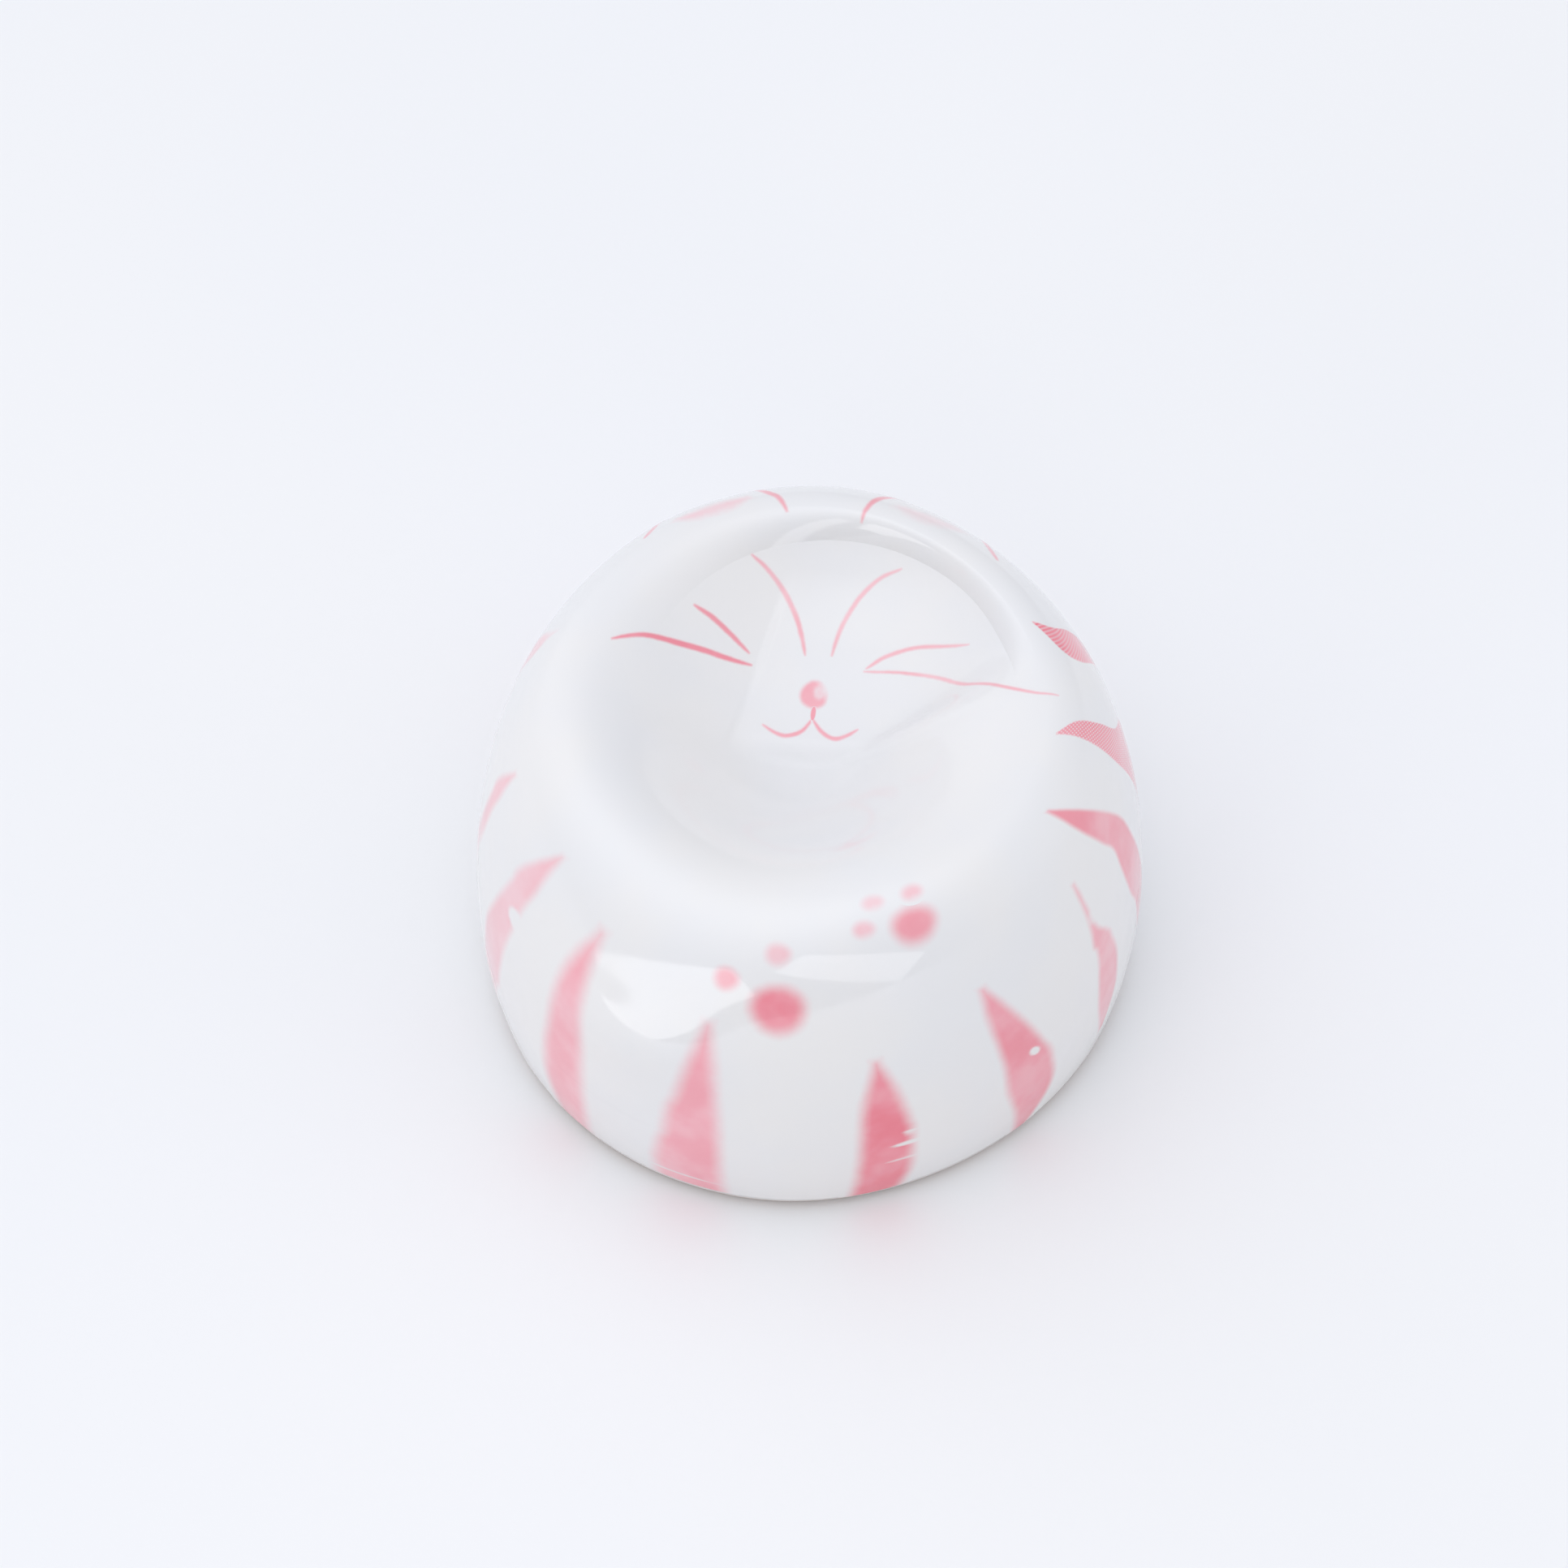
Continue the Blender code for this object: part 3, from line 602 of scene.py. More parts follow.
def skin_piece(name, points, normals, values, look):
    """A closed sheet: its face is the grid of points, its back is sunk below the coat."""
    rows, columns = values["ink"].shape
    size = rows * columns
    face = points.reshape(-1, 3)
    back = (points - normals * PRINT_DEPTH).reshape(-1, 3)
    index = np.arange(size).reshape(rows, columns)
    corners = np.stack([index[:-1, :-1], index[1:, :-1], index[1:, 1:], index[:-1, 1:]], -1).reshape(-1, 4)
    flipped = np.dot(np.cross(points[1, 0] - points[0, 0], points[0, 1] - points[0, 0]), normals[0, 0]) < 0
    if flipped:
        corners = corners[:, ::-1]
    faces = [*corners.tolist(), *(corners[:, ::-1] + size).tolist()]
    rim = np.concatenate([index[:, 0], index[-1, 1:], index[-2::-1, -1], index[0, -2:0:-1]]).tolist()
    for here, after in zip(rim, rim[1:] + rim[:1]):
        side = (here, after, after + size, here + size)
        faces.append(side if flipped else side[::-1])
    outward = normals.reshape(-1, 3)
    twice = [(key, np.concatenate([grid.reshape(-1)] * 2)) for key, grid in values.items()]
    made_of(
        f"print_{name}", np.concatenate([face, back]), faces, np.concatenate([outward, -outward]),
        look["material"], name, twice,
    )


def degrees_and_heights(*places):
    return [(math.radians(azimuth), float(section_at(height))) for azimuth, height in places]


def brush_line(name, surface, places, width, look, fullness=0.35, **options):
    """A line of the face or ears, thin at both ends; a small fullness keeps its width nearly to its ends."""
    path = smooth_path(places)
    thin_end = THIN_END * width

    def edge(sign):
        def at(share):
            spots = path(share)
            first, second = metric(surface, spots)
            ahead = np.gradient(surface(spots[:, 0], spots[:, 1]), axis=0)
            aside = unit(np.cross(np.cross(first, second), ahead))
            half = 0.5 * np.maximum(thin_end, width * np.sin(np.pi * share) ** fullness)
            return step_along(surface, spots, sign * aside * half[:, None])
        return at

    printed_skin(name, surface, edge(-1), edge(1), look, **options)


def oval(name, surface, centre, width, depth, look, soft):
    """A round print: width along the coat's azimuth, depth up the coat, soft as in printed_skin."""
    margin = 0.5 * soft + PRINT_BORDER
    centre = np.array([centre], float)
    first, second = metric(surface, centre)
    first = unit(first)
    second = unit(second - first * np.sum(first * second, 1, keepdims=True))

    # A square grid squeezed into a disc, so the sheet has no pointed ends.
    grid = np.linspace(-1, 1, OVAL_GRID)
    down, across = np.meshgrid(grid, grid, indexing="ij")
    x = across * np.sqrt(1 - down**2 / 2)
    y = down * np.sqrt(1 - across**2 / 2)
    turn = np.arctan2(y, x)
    uneven = 1 + OVAL_WAVER * np.sin(3 * turn + len(name))
    half_width = width / 2 * uneven + margin
    half_depth = depth / 2 * uneven + margin
    beside = x * half_width
    up = y * half_depth
    spots = np.repeat(np.repeat(centre[None], OVAL_GRID, 0), OVAL_GRID, 1)
    spots = step_along(surface, spots, first * beside[..., None] + second * up[..., None])

    reach = np.hypot(half_width * np.cos(turn), half_depth * np.sin(turn))
    inside = reach * (1 - np.hypot(x, y)) - margin
    along = up + depth / 2
    ink = worn(np.clip(0.5 + inside / soft, 0, 1), along, beside, depth, width, FLAWS.get(name, ()))
    coat = with_normals(surface, spots[..., 0], spots[..., 1])
    inked_sheet(name, coat, inside, soft, ink, along, beside, look)


# Each stripe as rows from its tip to its foot: height, then the azimuth of its left and of its right edge.
STRIPES = {
    "stripe_left_1": [
        (18.0, 235, 235.2), (15.6, 231.2, 235.3), (12.6, 229.2, 236.0), (9.2, 228, 236.1),
        (6.2, 227, 236), (4.0, 227, 236), (0.9, 228.5, 235.5),
    ],
    "stripe_front_left": [
        (15.9, 258.2, 258.5), (13.4, 256, 260), (10.4, 254.1, 260.5), (7.1, 252, 261), (3.6, 250, 261),
        (0.9, 249.5, 261.3),
    ],
    "stripe_front_right": [
        (13.1, 286, 286.3), (11.6, 285, 288.4), (10.0, 284, 290), (7.8, 283.6, 291.4),
        (6.0, 283.5, 292), (3.0, 283, 292), (0.9, 282.2, 290.5),
    ],
    "stripe_left_2": [
        (19.36, 220, 220.3), (16.7, 212.5, 218.4), (15.0, 210.7, 216.6), (12.0, 206.9, 214.4),
        (8.5, 203, 212), (5.0, 202, 209), (2.6, 203.5, 206),
    ],
    "stripe_left_3": [
        (18.6, 196.3, 196.6), (16.7, 191.9, 196), (15.3, 191.5, 195), (13.0, 190, 194), (9.0, 187, 191),
        (4.0, 184.5, 185.5),
    ],
    "stripe_left_4": [
        (20.3, 162.8, 163.2), (18.3, 160.5, 167), (14.5, 158, 164), (9.5, 155, 160.5),
        (4.0, 153.5, 154.5),
    ],
    "stripe_right_1": [
        (15.4, 305.8, 306.4), (13.0, 306.5, 311), (9.0, 309, 317), (6.0, 310, 320), (3.5, 312, 320),
        (0.9, 313, 316),
    ],
    "stripe_right_2": [
        (17.0, 330.8, 331.1), (13.5, 332, 333.4), (12.0, 332, 336.5), (11.0, 333, 338), (6.6, 333, 340),
        (3.0, 335, 336.5),
    ],
    "stripe_right_3": [
        (20.6, 334.8, 335.4), (19.0, 338, 343), (17.0, 342, 349), (15.5, 345, 352), (13.5, 346, 354),
        (10.8, 348, 356.5), (7.0, 352, 358), (3.0, 357, 358.5),
    ],
    "stripe_right_4": [
        (21.15, 354.3, 354.8), (20.7, 356, 360), (19.3, 358, 364), (17.4, 360, 368), (15.0, 363, 376),
        (10.0, 368, 378), (5.0, 376.5, 377.5),
    ],
    "stripe_right_5": [
        (21.15, 388.2, 388.8), (20.7, 380, 387), (19.7, 379, 388), (17.0, 384, 390), (11.0, 388, 395),
        (5.0, 393.5, 394.5),
    ],
    "stripe_rear_1": [
        (11.0, 59.8, 60.2), (8.0, 55, 62.5), (5.0, 54.5, 61), (2.0, 56.5, 57.5),
    ],
    "stripe_rear_2": [
        (13.0, 79.8, 80.2), (9.0, 75, 82.5), (5.0, 74.5, 81.5), (2.0, 77.5, 78.5),
    ],
    "stripe_rear_3": [
        (13.0, 98.8, 99.2), (9.0, 96.5, 104), (5.0, 97, 104.5), (2.0, 100.5, 101.5),
    ],
    "stripe_rear_4": [
        (11.0, 117.8, 118.2), (8.0, 116.5, 124), (5.0, 118, 124.8), (2.0, 121.5, 122.5),
    ],
    "stripe_rear_5": [
        (13.5, 140.8, 141.2), (9.5, 136.5, 143), (5.5, 134.5, 141), (2.0, 136.5, 137.5),
    ],
}

# Where the transfer tore or didn't take, as worn() reads it.
FLAWS = {
    "stripe_left_3": [(0.8, 0.0, 6.0, 2.5, 0.5)],
    "stripe_left_4": [(0.0, 0.0, 1.6, 2.5, 0.5), (0.8, 0.0, 7.0, 2.5, 0.6)],
    "stripe_front_right": [
        (0.60, 0.75, 0.2, 1.0, 0.9), (0.52, 0.9, 0.14, 0.6, 0.9), (0.72, 0.5, 0.12, 1.1, 0.7),
    ],
    "stripe_right_1": [(0.50, 0.45, 0.5, 0.4, 1.0)],
    "stripe_left_2": [(0.37, 0.85, 0.75, 0.9, 1.0)],
    "stripe_front_left": [(0.93, -0.2, 0.14, 2.2, 0.7)],
    "stripe_right_2": [(0.22, 1.0, 0.6, 0.45, 0.4)],
    "nose": [(0.62, 0.43, 0.55, 0.46, 0.5)],
}

# How wide the fading edge of each stripe's ink is in millimetres; the plain one is for those not listed.
PLAIN_SOFTNESS = 0.5
SCREENED_SOFTNESS = 0.18
SOFTNESS = {
    "stripe_front_left": 1.5, "stripe_front_right": 1.3, "stripe_left_1": 1.6, "stripe_right_1": 1.0,
    "stripe_left_2": 1.0, "stripe_left_3": 0.9, "stripe_left_4": 0.7, "stripe_right_2": 0.7,
    "stripe_right_4": SCREENED_SOFTNESS, "stripe_right_5": SCREENED_SOFTNESS,
}

# How strong each print is and how deep its pink, from 0 to 1; the plain tone is for those not listed.
PLAIN_TONE = (0.8, 0.4)
TONES = {
    "stripe_front_left": (0.9, 0.25), "stripe_front_right": (1.0, 0.8), "stripe_left_1": (0.85, 0.25),
    "stripe_left_2": (0.65, 0.15), "stripe_left_3": (0.65, 0.1), "stripe_left_4": (0.6, 0.1),
    "stripe_right_1": (0.95, 0.6), "stripe_right_2": (0.85, 0.4), "stripe_right_3": (0.9, 0.6),
    "stripe_right_4": (0.95, 0.7), "stripe_right_5": (1.0, 0.85),
    "eye_left": (0.8, 0.3), "eye_right": (0.72, 0.25), "whisker_left_upper": (0.9, 0.45),
    "whisker_left_lower": (1.0, 0.5), "whisker_right_upper": (0.75, 0.25),
    "whisker_right_lower": (0.75, 0.25),
    "nose": (0.85, 0.35), "nose_line": (0.95, 0.4), "mouth_left": (0.9, 0.3), "mouth_right": (0.9, 0.3),
    "ear_left_blush": (0.65, 0.2), "ear_right_blush": (0.35, 0.1),
    "paw_left_pad": (0.95, 0.7), "paw_right_pad": (0.85, 0.6), "paw_left_toe_1": (0.8, 0.4),
    "paw_left_toe_2": (0.55, 0.2), "paw_right_toe_1": (0.6, 0.3), "paw_right_toe_2": (0.5, 0.3),
    "paw_right_toe_3": (0.6, 0.3),
}

# Prints that overlap another, and how many layers up they lie.
LAYERS = {
    "mouth_left": 1, "mouth_right": 2, "nose_line": 3, "whisker_left_upper": 1, "whisker_right_upper": 1,
    "ear_left_inner_edge": 1, "ear_right_inner_edge": 1, "ear_left_outer_edge": 2, "ear_right_outer_edge": 2,
    "paw_left_toe_1": 1, "paw_left_toe_2": 2, "paw_right_toe_1": 1, "paw_right_toe_2": 2,
    "paw_right_toe_3": 1,
}

# The stripes whose foot has no fading end, because they run in under the belly.
BLUNT = ("stripe_front_left", "stripe_front_right", "stripe_left_1", "stripe_right_1")


def stripe(name, rows, soft, ink):
    left = smooth_path(degrees_and_heights(*((start, height) for height, start, _ in rows)))
    right = smooth_path(degrees_and_heights(*((end, height) for height, _, end in rows)))
    printed_skin(
        name, wall_point, left, right, {"material": ink, "slot": "stripe_print"}, **STRIPE_GRID,
        soft=soft, flaws=FLAWS.get(name, ()), blunt=name in BLUNT, level=True,
    )


# ---------------------------------------------------------------- materials

class Nodes:
    """Short calls for building the node tree of a material or a world."""

    def __init__(self, owner, last):
        owner.use_nodes = True
        self.owner = owner
        self.tree = owner.node_tree
        self.last = self.tree.nodes[last]

    def add(self, kind, inputs=None, **settings):
        node = self.tree.nodes.new(kind)
        for key, value in settings.items():
            setattr(node, key, value)
        for key, value in (inputs or {}).items():
            self.feed(node.inputs[key], value)
        return node

    def feed(self, socket, value):
        if isinstance(value, bpy.types.NodeSocket):
            self.tree.links.new(value, socket)
        elif isinstance(value, bpy.types.Node):
            self.tree.links.new(value.outputs[0], socket)
        else:
            socket.default_value = value

    def math(self, operation, *values, clamp=False):
        node = self.add("ShaderNodeMath", operation=operation, use_clamp=clamp)
        for socket, value in zip(node.inputs, values):
            self.feed(socket, value)
        return node.outputs[0]

    def between(self, value, low, high, to_low=0.0, to_high=1.0):
        node = self.add(
            "ShaderNodeMapRange",
            {"Value": value, "From Min": low, "From Max": high, "To Min": to_low, "To Max": to_high},
            interpolation_type="SMOOTHSTEP",
        )
        return node.outputs[0]

    def mix(self, share, first, second):
        node = self.add("ShaderNodeMix", data_type="RGBA")
        self.feed(node.inputs["Factor"], share)
        self.feed(node.inputs["A"], first)
        self.feed(node.inputs["B"], second)
        return node.outputs["Result"]

    def noise(self, place, scale, detail=2.0, roughness=0.5):
        node = self.add(
            "ShaderNodeTexNoise",
            {"Vector": place, "Scale": scale, "Detail": detail, "Roughness": roughness},
        )
        return node.outputs["Fac"]

    def value(self, key):
        return self.add("ShaderNodeAttribute", attribute_name=key).outputs["Fac"]


WHITE = (0.83, 0.82, 0.82, 1)
WHITE_COOL = (0.81, 0.812, 0.83, 1)
WHITE_WARM = (0.85, 0.83, 0.815, 1)
SPECK = (0.50, 0.47, 0.44, 1)
# Biscuit of the bare foot, darkened past real biscuit as painted contact shadow at the bottom edge.
BISCUIT_AND_CONTACT_SHADE = (0.58, 0.49, 0.44, 1)
PINK = (0.95, 0.40, 0.47, 1)
PINK_DEEP = (0.85, 0.19, 0.25, 1)
PINK_PALE = (0.93, 0.55, 0.60, 1)
TABLE_COOL = (0.875, 0.88, 0.895, 1)
TABLE_WARM = (0.885, 0.885, 0.89, 1)
GLAZE_IOR = 1.58
COAT_WEIGHT = 0.2
COAT_ROUGHNESS = 0.05
SCREEN_PITCH = 0.2  # millimetres between the dots of the screened stripes


def new_material(name):
    return Nodes(bpy.data.materials.new(name), "Principled BSDF")


def glaze(nodes):
    """Colour, roughness and bump of the white glaze, the same for the porcelain and under every print."""
    place = nodes.add("ShaderNodeTexCoord").outputs["Object"]
    drift = nodes.noise(place, 110, 3)
    colour = nodes.mix(nodes.between(drift, 0.35, 0.65), WHITE_COOL, WHITE_WARM)
    colour = nodes.mix(0.5, colour, WHITE)
    cell = nodes.add("ShaderNodeTexVoronoi", {"Vector": place, "Scale": 260.0}, feature="F1")
    chosen = nodes.between(cell.outputs["Color"], 0.93, 0.97)
    speck = nodes.math("MULTIPLY", chosen, nodes.between(cell.outputs["Distance"], 0.02, 0.07, 1.0, 0.0))
    colour = nodes.mix(nodes.math("MULTIPLY", speck, 0.35), colour, SPECK)
    sheen = nodes.noise(place, 420, 3, 0.6)
    roughness = nodes.between(sheen, 0.3, 0.7, 0.055, 0.11)
    peel = nodes.noise(place, 700, 2, 0.5)
    wave = nodes.noise(place, 190, 1, 0.5)
    height = nodes.math("ADD", nodes.math("MULTIPLY", peel, 0.10), nodes.math("MULTIPLY", wave, 0.5))
    height = nodes.math("SUBTRACT", height, nodes.math("MULTIPLY", speck, 0.25))
    bump = nodes.add("ShaderNodeBump", {"Height": height, "Strength": 0.12, "Distance": 0.0002})
    return colour, roughness, bump.outputs[0], place


def finish_shader(nodes, colour, roughness, normal):
    settings = {
        "Base Color": colour, "Roughness": roughness, "Normal": normal, "IOR": GLAZE_IOR,
        "Coat Weight": COAT_WEIGHT, "Coat Roughness": COAT_ROUGHNESS, "Coat Normal": normal,
    }
    for key, value in settings.items():
        nodes.feed(nodes.last.inputs[key], value)
    return nodes.owner


def porcelain(name, with_foot=False):
    nodes = new_material(name)
    colour, roughness, normal, _ = glaze(nodes)
    if with_foot:
        # The bare foot turns to the darkened biscuit: partly unglazed porcelain, partly painted contact
        # shadow.
        bare = nodes.between(nodes.value("bare"), 0.25, 0.6)
        colour = nodes.mix(bare, colour, BISCUIT_AND_CONTACT_SHADE)
        roughness = nodes.math("ADD", roughness, nodes.math("MULTIPLY", bare, 0.6))
    return finish_shader(nodes, colour, roughness, normal)


def printed(name, light, deep, screening=0.0, ragged=0.12):
    """Ink in the glaze: cloudy, frayed at its edge, and with the screen's dots if it has any screening."""
    nodes = new_material(name)
    white, roughness, normal, place = glaze(nodes)
    ink = nodes.value("ink")
    fray = nodes.noise(place, 1500, 3, 0.65)
    cloud = nodes.noise(place, 260, 3, 0.5)
    edge = nodes.math("MULTIPLY_ADD", nodes.math("SUBTRACT", fray, 0.5), ragged, ink)
    amount = nodes.math("MULTIPLY", nodes.between(edge, 0.04, 0.96), nodes.between(ink, 0.0, 0.06))
    amount = nodes.math("MULTIPLY", amount, nodes.value("strength"))
    amount = nodes.math("MULTIPLY", amount, nodes.between(cloud, 0.25, 0.6, 0.86, 1.0))
    if screening:
        along, beside = nodes.value("along"), nodes.value("beside")
        turn = 2 * math.pi / SCREEN_PITCH / math.sqrt(2)
        first = nodes.math("SINE", nodes.math("MULTIPLY", nodes.math("ADD", along, beside), turn))
        second = nodes.math("SINE", nodes.math("MULTIPLY", nodes.math("SUBTRACT", along, beside), turn))
        dots = nodes.math("MULTIPLY", nodes.math("ADD", first, second), 0.5)
        bare = nodes.between(nodes.math("MULTIPLY_ADD", cloud, 0.9, dots), 0.45, 1.2)
        amount = nodes.math("MULTIPLY", amount, nodes.math("MULTIPLY_ADD", bare, -screening, 1.0))
    depth = nodes.math("ADD", nodes.value("depth"), nodes.between(cloud, 0.3, 0.7, -0.2, 0.2), clamp=True)
    colour = nodes.mix(amount, white, nodes.mix(depth, light, deep))
    return finish_shader(nodes, colour, roughness, normal)


def floor_material():
    nodes = new_material("matt_white_table")
    place = nodes.add("ShaderNodeTexCoord").outputs["Object"]
    patch = nodes.noise(place, 14, 3)
    colour = nodes.mix(nodes.between(patch, 0.35, 0.65), TABLE_COOL, TABLE_WARM)
    nodes.feed(nodes.last.inputs["Base Color"], colour)
    fine = nodes.noise(place, 2200, 2)
    nodes.feed(nodes.last.inputs["Roughness"], nodes.between(fine, 0.3, 0.7, 0.42, 0.5))
    bump = nodes.add("ShaderNodeBump", {"Height": fine, "Strength": 0.03, "Distance": 0.0002})
    nodes.feed(nodes.last.inputs["Normal"], bump.outputs[0])
    return nodes.owner


# ---------------------------------------------------------------- the cat

# The face, from above: width of the line, then its places across and along the cat.
FACE_LINES = {
    "eye_left": (0.30, [
        (-4.15, 11.4), (-3.25, 11.0), (-2.25, 10.2), (-1.45, 9.0), (-1.0, 7.9), (-0.7, 6.85),
    ]),
    "eye_right": (0.26, [(4.4, 11.55), (3.2, 11.2), (2.15, 10.3), (1.4, 9.0), (1.0, 7.85), (0.8, 6.95)]),
    "whisker_left_upper": (0.32, [(-7.1, 7.8), (-6.1, 7.65), (-5.0, 7.2), (-3.85, 6.55)]),
    "whisker_left_lower": (0.36, [
        (-11.25, 3.5), (-9.45, 4.65), (-7.85, 5.3), (-6.4, 5.7), (-5.0, 5.85), (-3.65, 5.95),
    ]),
    "whisker_right_upper": (0.24, [(2.8, 6.3), (3.95, 6.95), (5.8, 7.25), (8.6, 6.75)]),
    "whisker_right_lower": (0.24, [
        (2.7, 6.15), (4.95, 5.95), (7.25, 5.2), (9.0, 3.8), (10.75, 2.25), (12.35, 1.5), (13.8, 1.4),
    ]),
    "nose_line": (0.27, [(0.06, 3.98), (0.04, 3.6), (0.02, 3.12)]),
    "mouth_left": (0.26, [(-2.75, 2.5), (-1.9, 2.05), (-1.25, 2.0), (-0.5, 2.4), (0.02, 3.22)]),
    "mouth_right": (0.26, [(2.65, 2.65), (1.95, 2.2), (1.3, 2.05), (0.6, 2.45), (0.02, 3.22)]),
}
LINE_SOFTNESS = 0.22
NOSE_LINE_SOFTNESS = 0.08
NOSE = {"centre": (-0.02, 4.66), "width": 1.5, "depth": 1.66, "soft": 0.4}

# The ears as azimuths and heights; start is where an inner edge comes over the ridge: azimuth, share past it.
EARS = {
    "left": {
        "start": (99.8, 0.025),
        "inner": [(101.25, 21.1), (102.7, 20.88), (104.0, 20.5), (107.5, 18.2), (113.0, 14.8)],
        "outer": [(132.0, 20.6), (129.5, 20.35), (127.0, 19.9), (120.0, 17.3), (114.4, 14.9)],
        "blush": [(123.6, 20.65), (120.2, 20.93), (115.9, 20.98), (111.5, 20.98), (107.6, 20.88)],
    },
    "right": {
        "start": (81.9, 0.04),
        "inner": [(80.6, 21.08), (79.6, 20.8), (78.2, 20.35), (74.0, 18.0), (69.0, 14.8)],
        "outer": [(49.3, 20.65), (53.0, 20.27), (56.5, 19.6), (62.5, 17.0), (67.6, 14.9)],
        "blush": [
            (75.2, 20.9), (71.8, 20.95), (68.8, 20.9), (65.2, 20.75), (62.2, 20.5), (60.4, 20.3),
        ],
    },
}
EAR_EDGE = {"width": 0.4, "soft": 0.26}
EAR_BLUSH = {"width": 1.15, "soft": 1.1, "fullness": 0.6}

# The paw prints: azimuth and height of the middle, width and height.
PAWS = {
    "paw_left_pad": (269.9, 17.3, 2.9, 2.75),
    "paw_left_toe_1": (260.3, 18.6, 1.3, 1.2),
    "paw_left_toe_2": (269.4, 19.9, 1.3, 1.1),
    "paw_right_pad": (296.2, 20.2, 2.4, 1.9),
    "paw_right_toe_1": (286.2, 20.5, 1.1, 0.8),
    "paw_right_toe_2": (289.1, 21.1, 1.1, 0.7),
    "paw_right_toe_3": (297.8, 21.07, 1.1, 0.7),
}
PAW_SOFTNESS = 0.4
PAW_SOFTENING = 0.3  # how much softer the edge gets with the width


def build_cat():
    bearing = glazed_body(porcelain("porcelain_body", with_foot=True))
    glazed_head(porcelain("porcelain_head"), bearing)
    stripe_ink = printed("stripe_ink", PINK, PINK_DEEP)
    screened_ink = printed("stripe_ink_screened", PINK, PINK_DEEP, screening=0.7)
    paw_look = {"material": stripe_ink, "slot": "stripe_print"}
    line_look = {"material": printed("line_ink", PINK, PINK_DEEP, ragged=0.35), "slot": "line_print"}
    blush_look = {"material": printed("blush_ink", PINK_PALE, PINK, ragged=0.5), "slot": "blush_print"}
    for name, rows in STRIPES.items():
        soft = SOFTNESS.get(name, PLAIN_SOFTNESS)
        stripe(name, rows, soft, screened_ink if soft == SCREENED_SOFTNESS else stripe_ink)

    for name, (width, places) in FACE_LINES.items():
        soft = NOSE_LINE_SOFTNESS if name == "nose_line" else LINE_SOFTNESS
        brush_line(name, top_point, places, width, line_look, soft=soft, **LINE_GRID)
    oval("nose", top_point, look=line_look, **NOSE)

    for side, marks in EARS.items():
        azimuth, past_ridge = marks["start"]
        paths = {edge: degrees_and_heights(*marks[edge]) for edge in ("inner", "outer", "blush")}
        paths["inner"].insert(0, (math.radians(azimuth), 2 + past_ridge))
        for edge in ("inner", "outer"):
            name = f"ear_{side}_{edge}_edge"
            brush_line(name, wall_point, paths[edge], look=line_look, **EAR_EDGE, **LINE_GRID)
        name = f"ear_{side}_blush"
        brush_line(name, wall_point, paths["blush"], look=blush_look, **EAR_BLUSH, **BLUSH_GRID)

    for name, (azimuth, height, width, depth) in PAWS.items():
        centre = degrees_and_heights((azimuth, height))[0]
        oval(name, wall_point, centre, width, depth, paw_look, soft=PAW_SOFTNESS + PAW_SOFTENING * width)


# ---------------------------------------------------------------- table, light and camera

TABLE_HALF_SIDE = 1.5
TABLE_GAP = 0.00002

# The studio round the cat: an even glow with broad lobes on it, as azimuth, elevation and strength.  The one
# below nothing is the dark shape of the camera in front.
GLOW = 0.43
LOBES = [(0, 90, 0.91), (90, 12, 0.60), (225, 12, 0.60), (300, 48, 0.50), (0, 20, -0.30)]
LOBE_POWER = 8
SKY_COLOUR = (0.975, 0.995, 1.045, 1)
AIM = Vector((0, 0, 0.012))
PANEL_DISTANCE = 0.7
# Two windows, as azimuth, elevation, width, height, radiance and roll.
PANELS = {
    "left_window": (-43, 2, 0.75, 0.245, 1.75, 39),
    "front_window": (15, 21, 0.68, 0.19, 1.2, -34),
}

LENS = 120.8
SENSOR = 36
SHIFT = (-0.01475, 0.0390)
CLIP = (0.01, 10)
VIEW_AZIMUTH, VIEW_ELEVATION, VIEW_DISTANCE = 4.94, 52, 0.3
VIEW_HEIGHT = 0.008


def add_floor():
    mesh = bpy.data.meshes.new("table_top")
    half = TABLE_HALF_SIDE
    corners = [(-half, -half, 0), (half, -half, 0), (half, half, 0), (-half, half, 0)]
    mesh.from_pydata(corners, [], [(0, 1, 2, 3)])
    mesh.materials.append(floor_material())
    floor = bpy.data.objects.new("table_top", mesh)
    floor.location.z = cad_low.z - TABLE_GAP
    bpy.context.scene.collection.objects.link(floor)


def direction(azimuth, elevation):
    """Azimuth 0 is behind the camera and 90 on the right."""
    turn, lift = math.radians(azimuth), math.radians(elevation)
    return Vector((math.sin(turn) * math.cos(lift), -math.cos(turn) * math.cos(lift), math.sin(lift)))


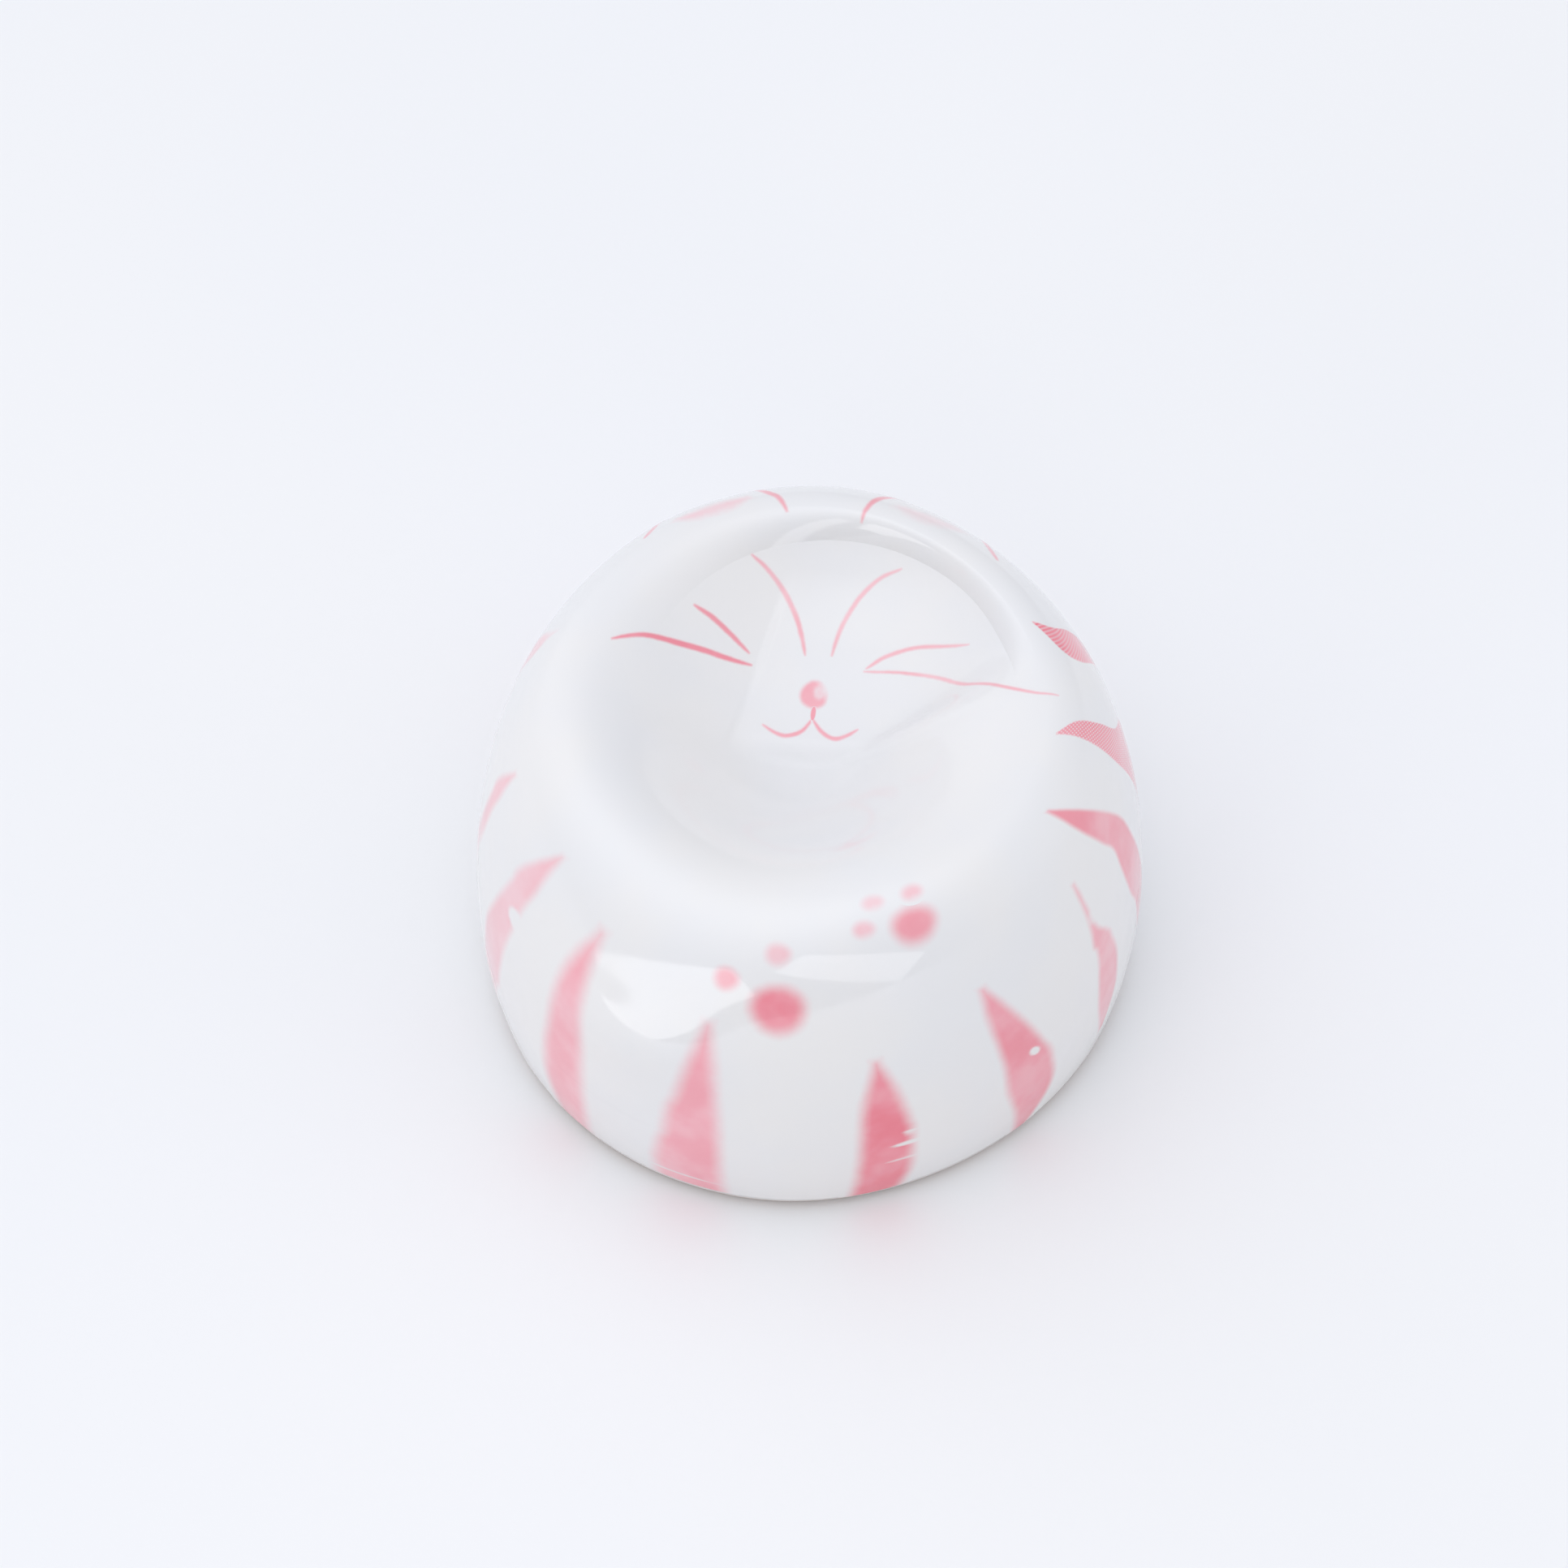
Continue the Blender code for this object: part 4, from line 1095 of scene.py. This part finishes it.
def add_panel(name, azimuth, elevation, width, height, radiance, roll):
    """A soft rectangular light, turned towards the cat and rolled about its own axis."""
    out = direction(azimuth, elevation)
    light = bpy.data.lights.new(name, "AREA")
    light.shape = "RECTANGLE"
    light.size = width
    light.size_y = height
    light.energy = radiance * math.pi * width * height
    lamp = bpy.data.objects.new(name, light)
    lamp.location = AIM + out * PANEL_DISTANCE
    lamp.rotation_mode = "QUATERNION"
    lamp.rotation_quaternion = out.to_track_quat("Z", "Y") @ Quaternion((0, 0, 1), math.radians(roll))
    bpy.context.scene.collection.objects.link(lamp)


def add_light():
    world = bpy.data.worlds.new("studio")
    nodes = Nodes(world, "Background")
    towards = nodes.add("ShaderNodeTexCoord").outputs["Generated"]
    total = GLOW
    for azimuth, elevation, strength in LOBES:
        dot = nodes.add("ShaderNodeVectorMath", operation="DOT_PRODUCT")
        nodes.feed(dot.inputs[0], towards)
        dot.inputs[1].default_value = direction(azimuth, elevation)
        lobe = nodes.math("POWER", nodes.math("MULTIPLY_ADD", dot.outputs["Value"], 0.5, 0.5), LOBE_POWER)
        total = nodes.math("MULTIPLY_ADD", lobe, strength, total)
    nodes.feed(nodes.last.inputs["Strength"], total)
    nodes.feed(nodes.last.inputs["Color"], SKY_COLOUR)
    bpy.context.scene.world = world
    for name, settings in PANELS.items():
        add_panel(name, *settings)


def add_camera():
    camera = bpy.data.cameras.new("camera")
    camera.lens = LENS
    camera.sensor_width = SENSOR
    camera.shift_x, camera.shift_y = SHIFT
    camera.clip_start, camera.clip_end = CLIP
    view = bpy.data.objects.new("camera", camera)
    back = direction(VIEW_AZIMUTH, VIEW_ELEVATION)
    target = Vector((ORIGIN[0] * MM, ORIGIN[1] * MM, VIEW_HEIGHT))
    view.location = target + back * VIEW_DISTANCE
    view.rotation_mode = "QUATERNION"
    view.rotation_quaternion = back.to_track_quat("Z", "Y")
    bpy.context.scene.collection.objects.link(view)
    bpy.context.scene.camera = view


build_cat()
add_floor()
add_light()
add_camera()
bpy.context.scene.view_settings.view_transform = "Standard"
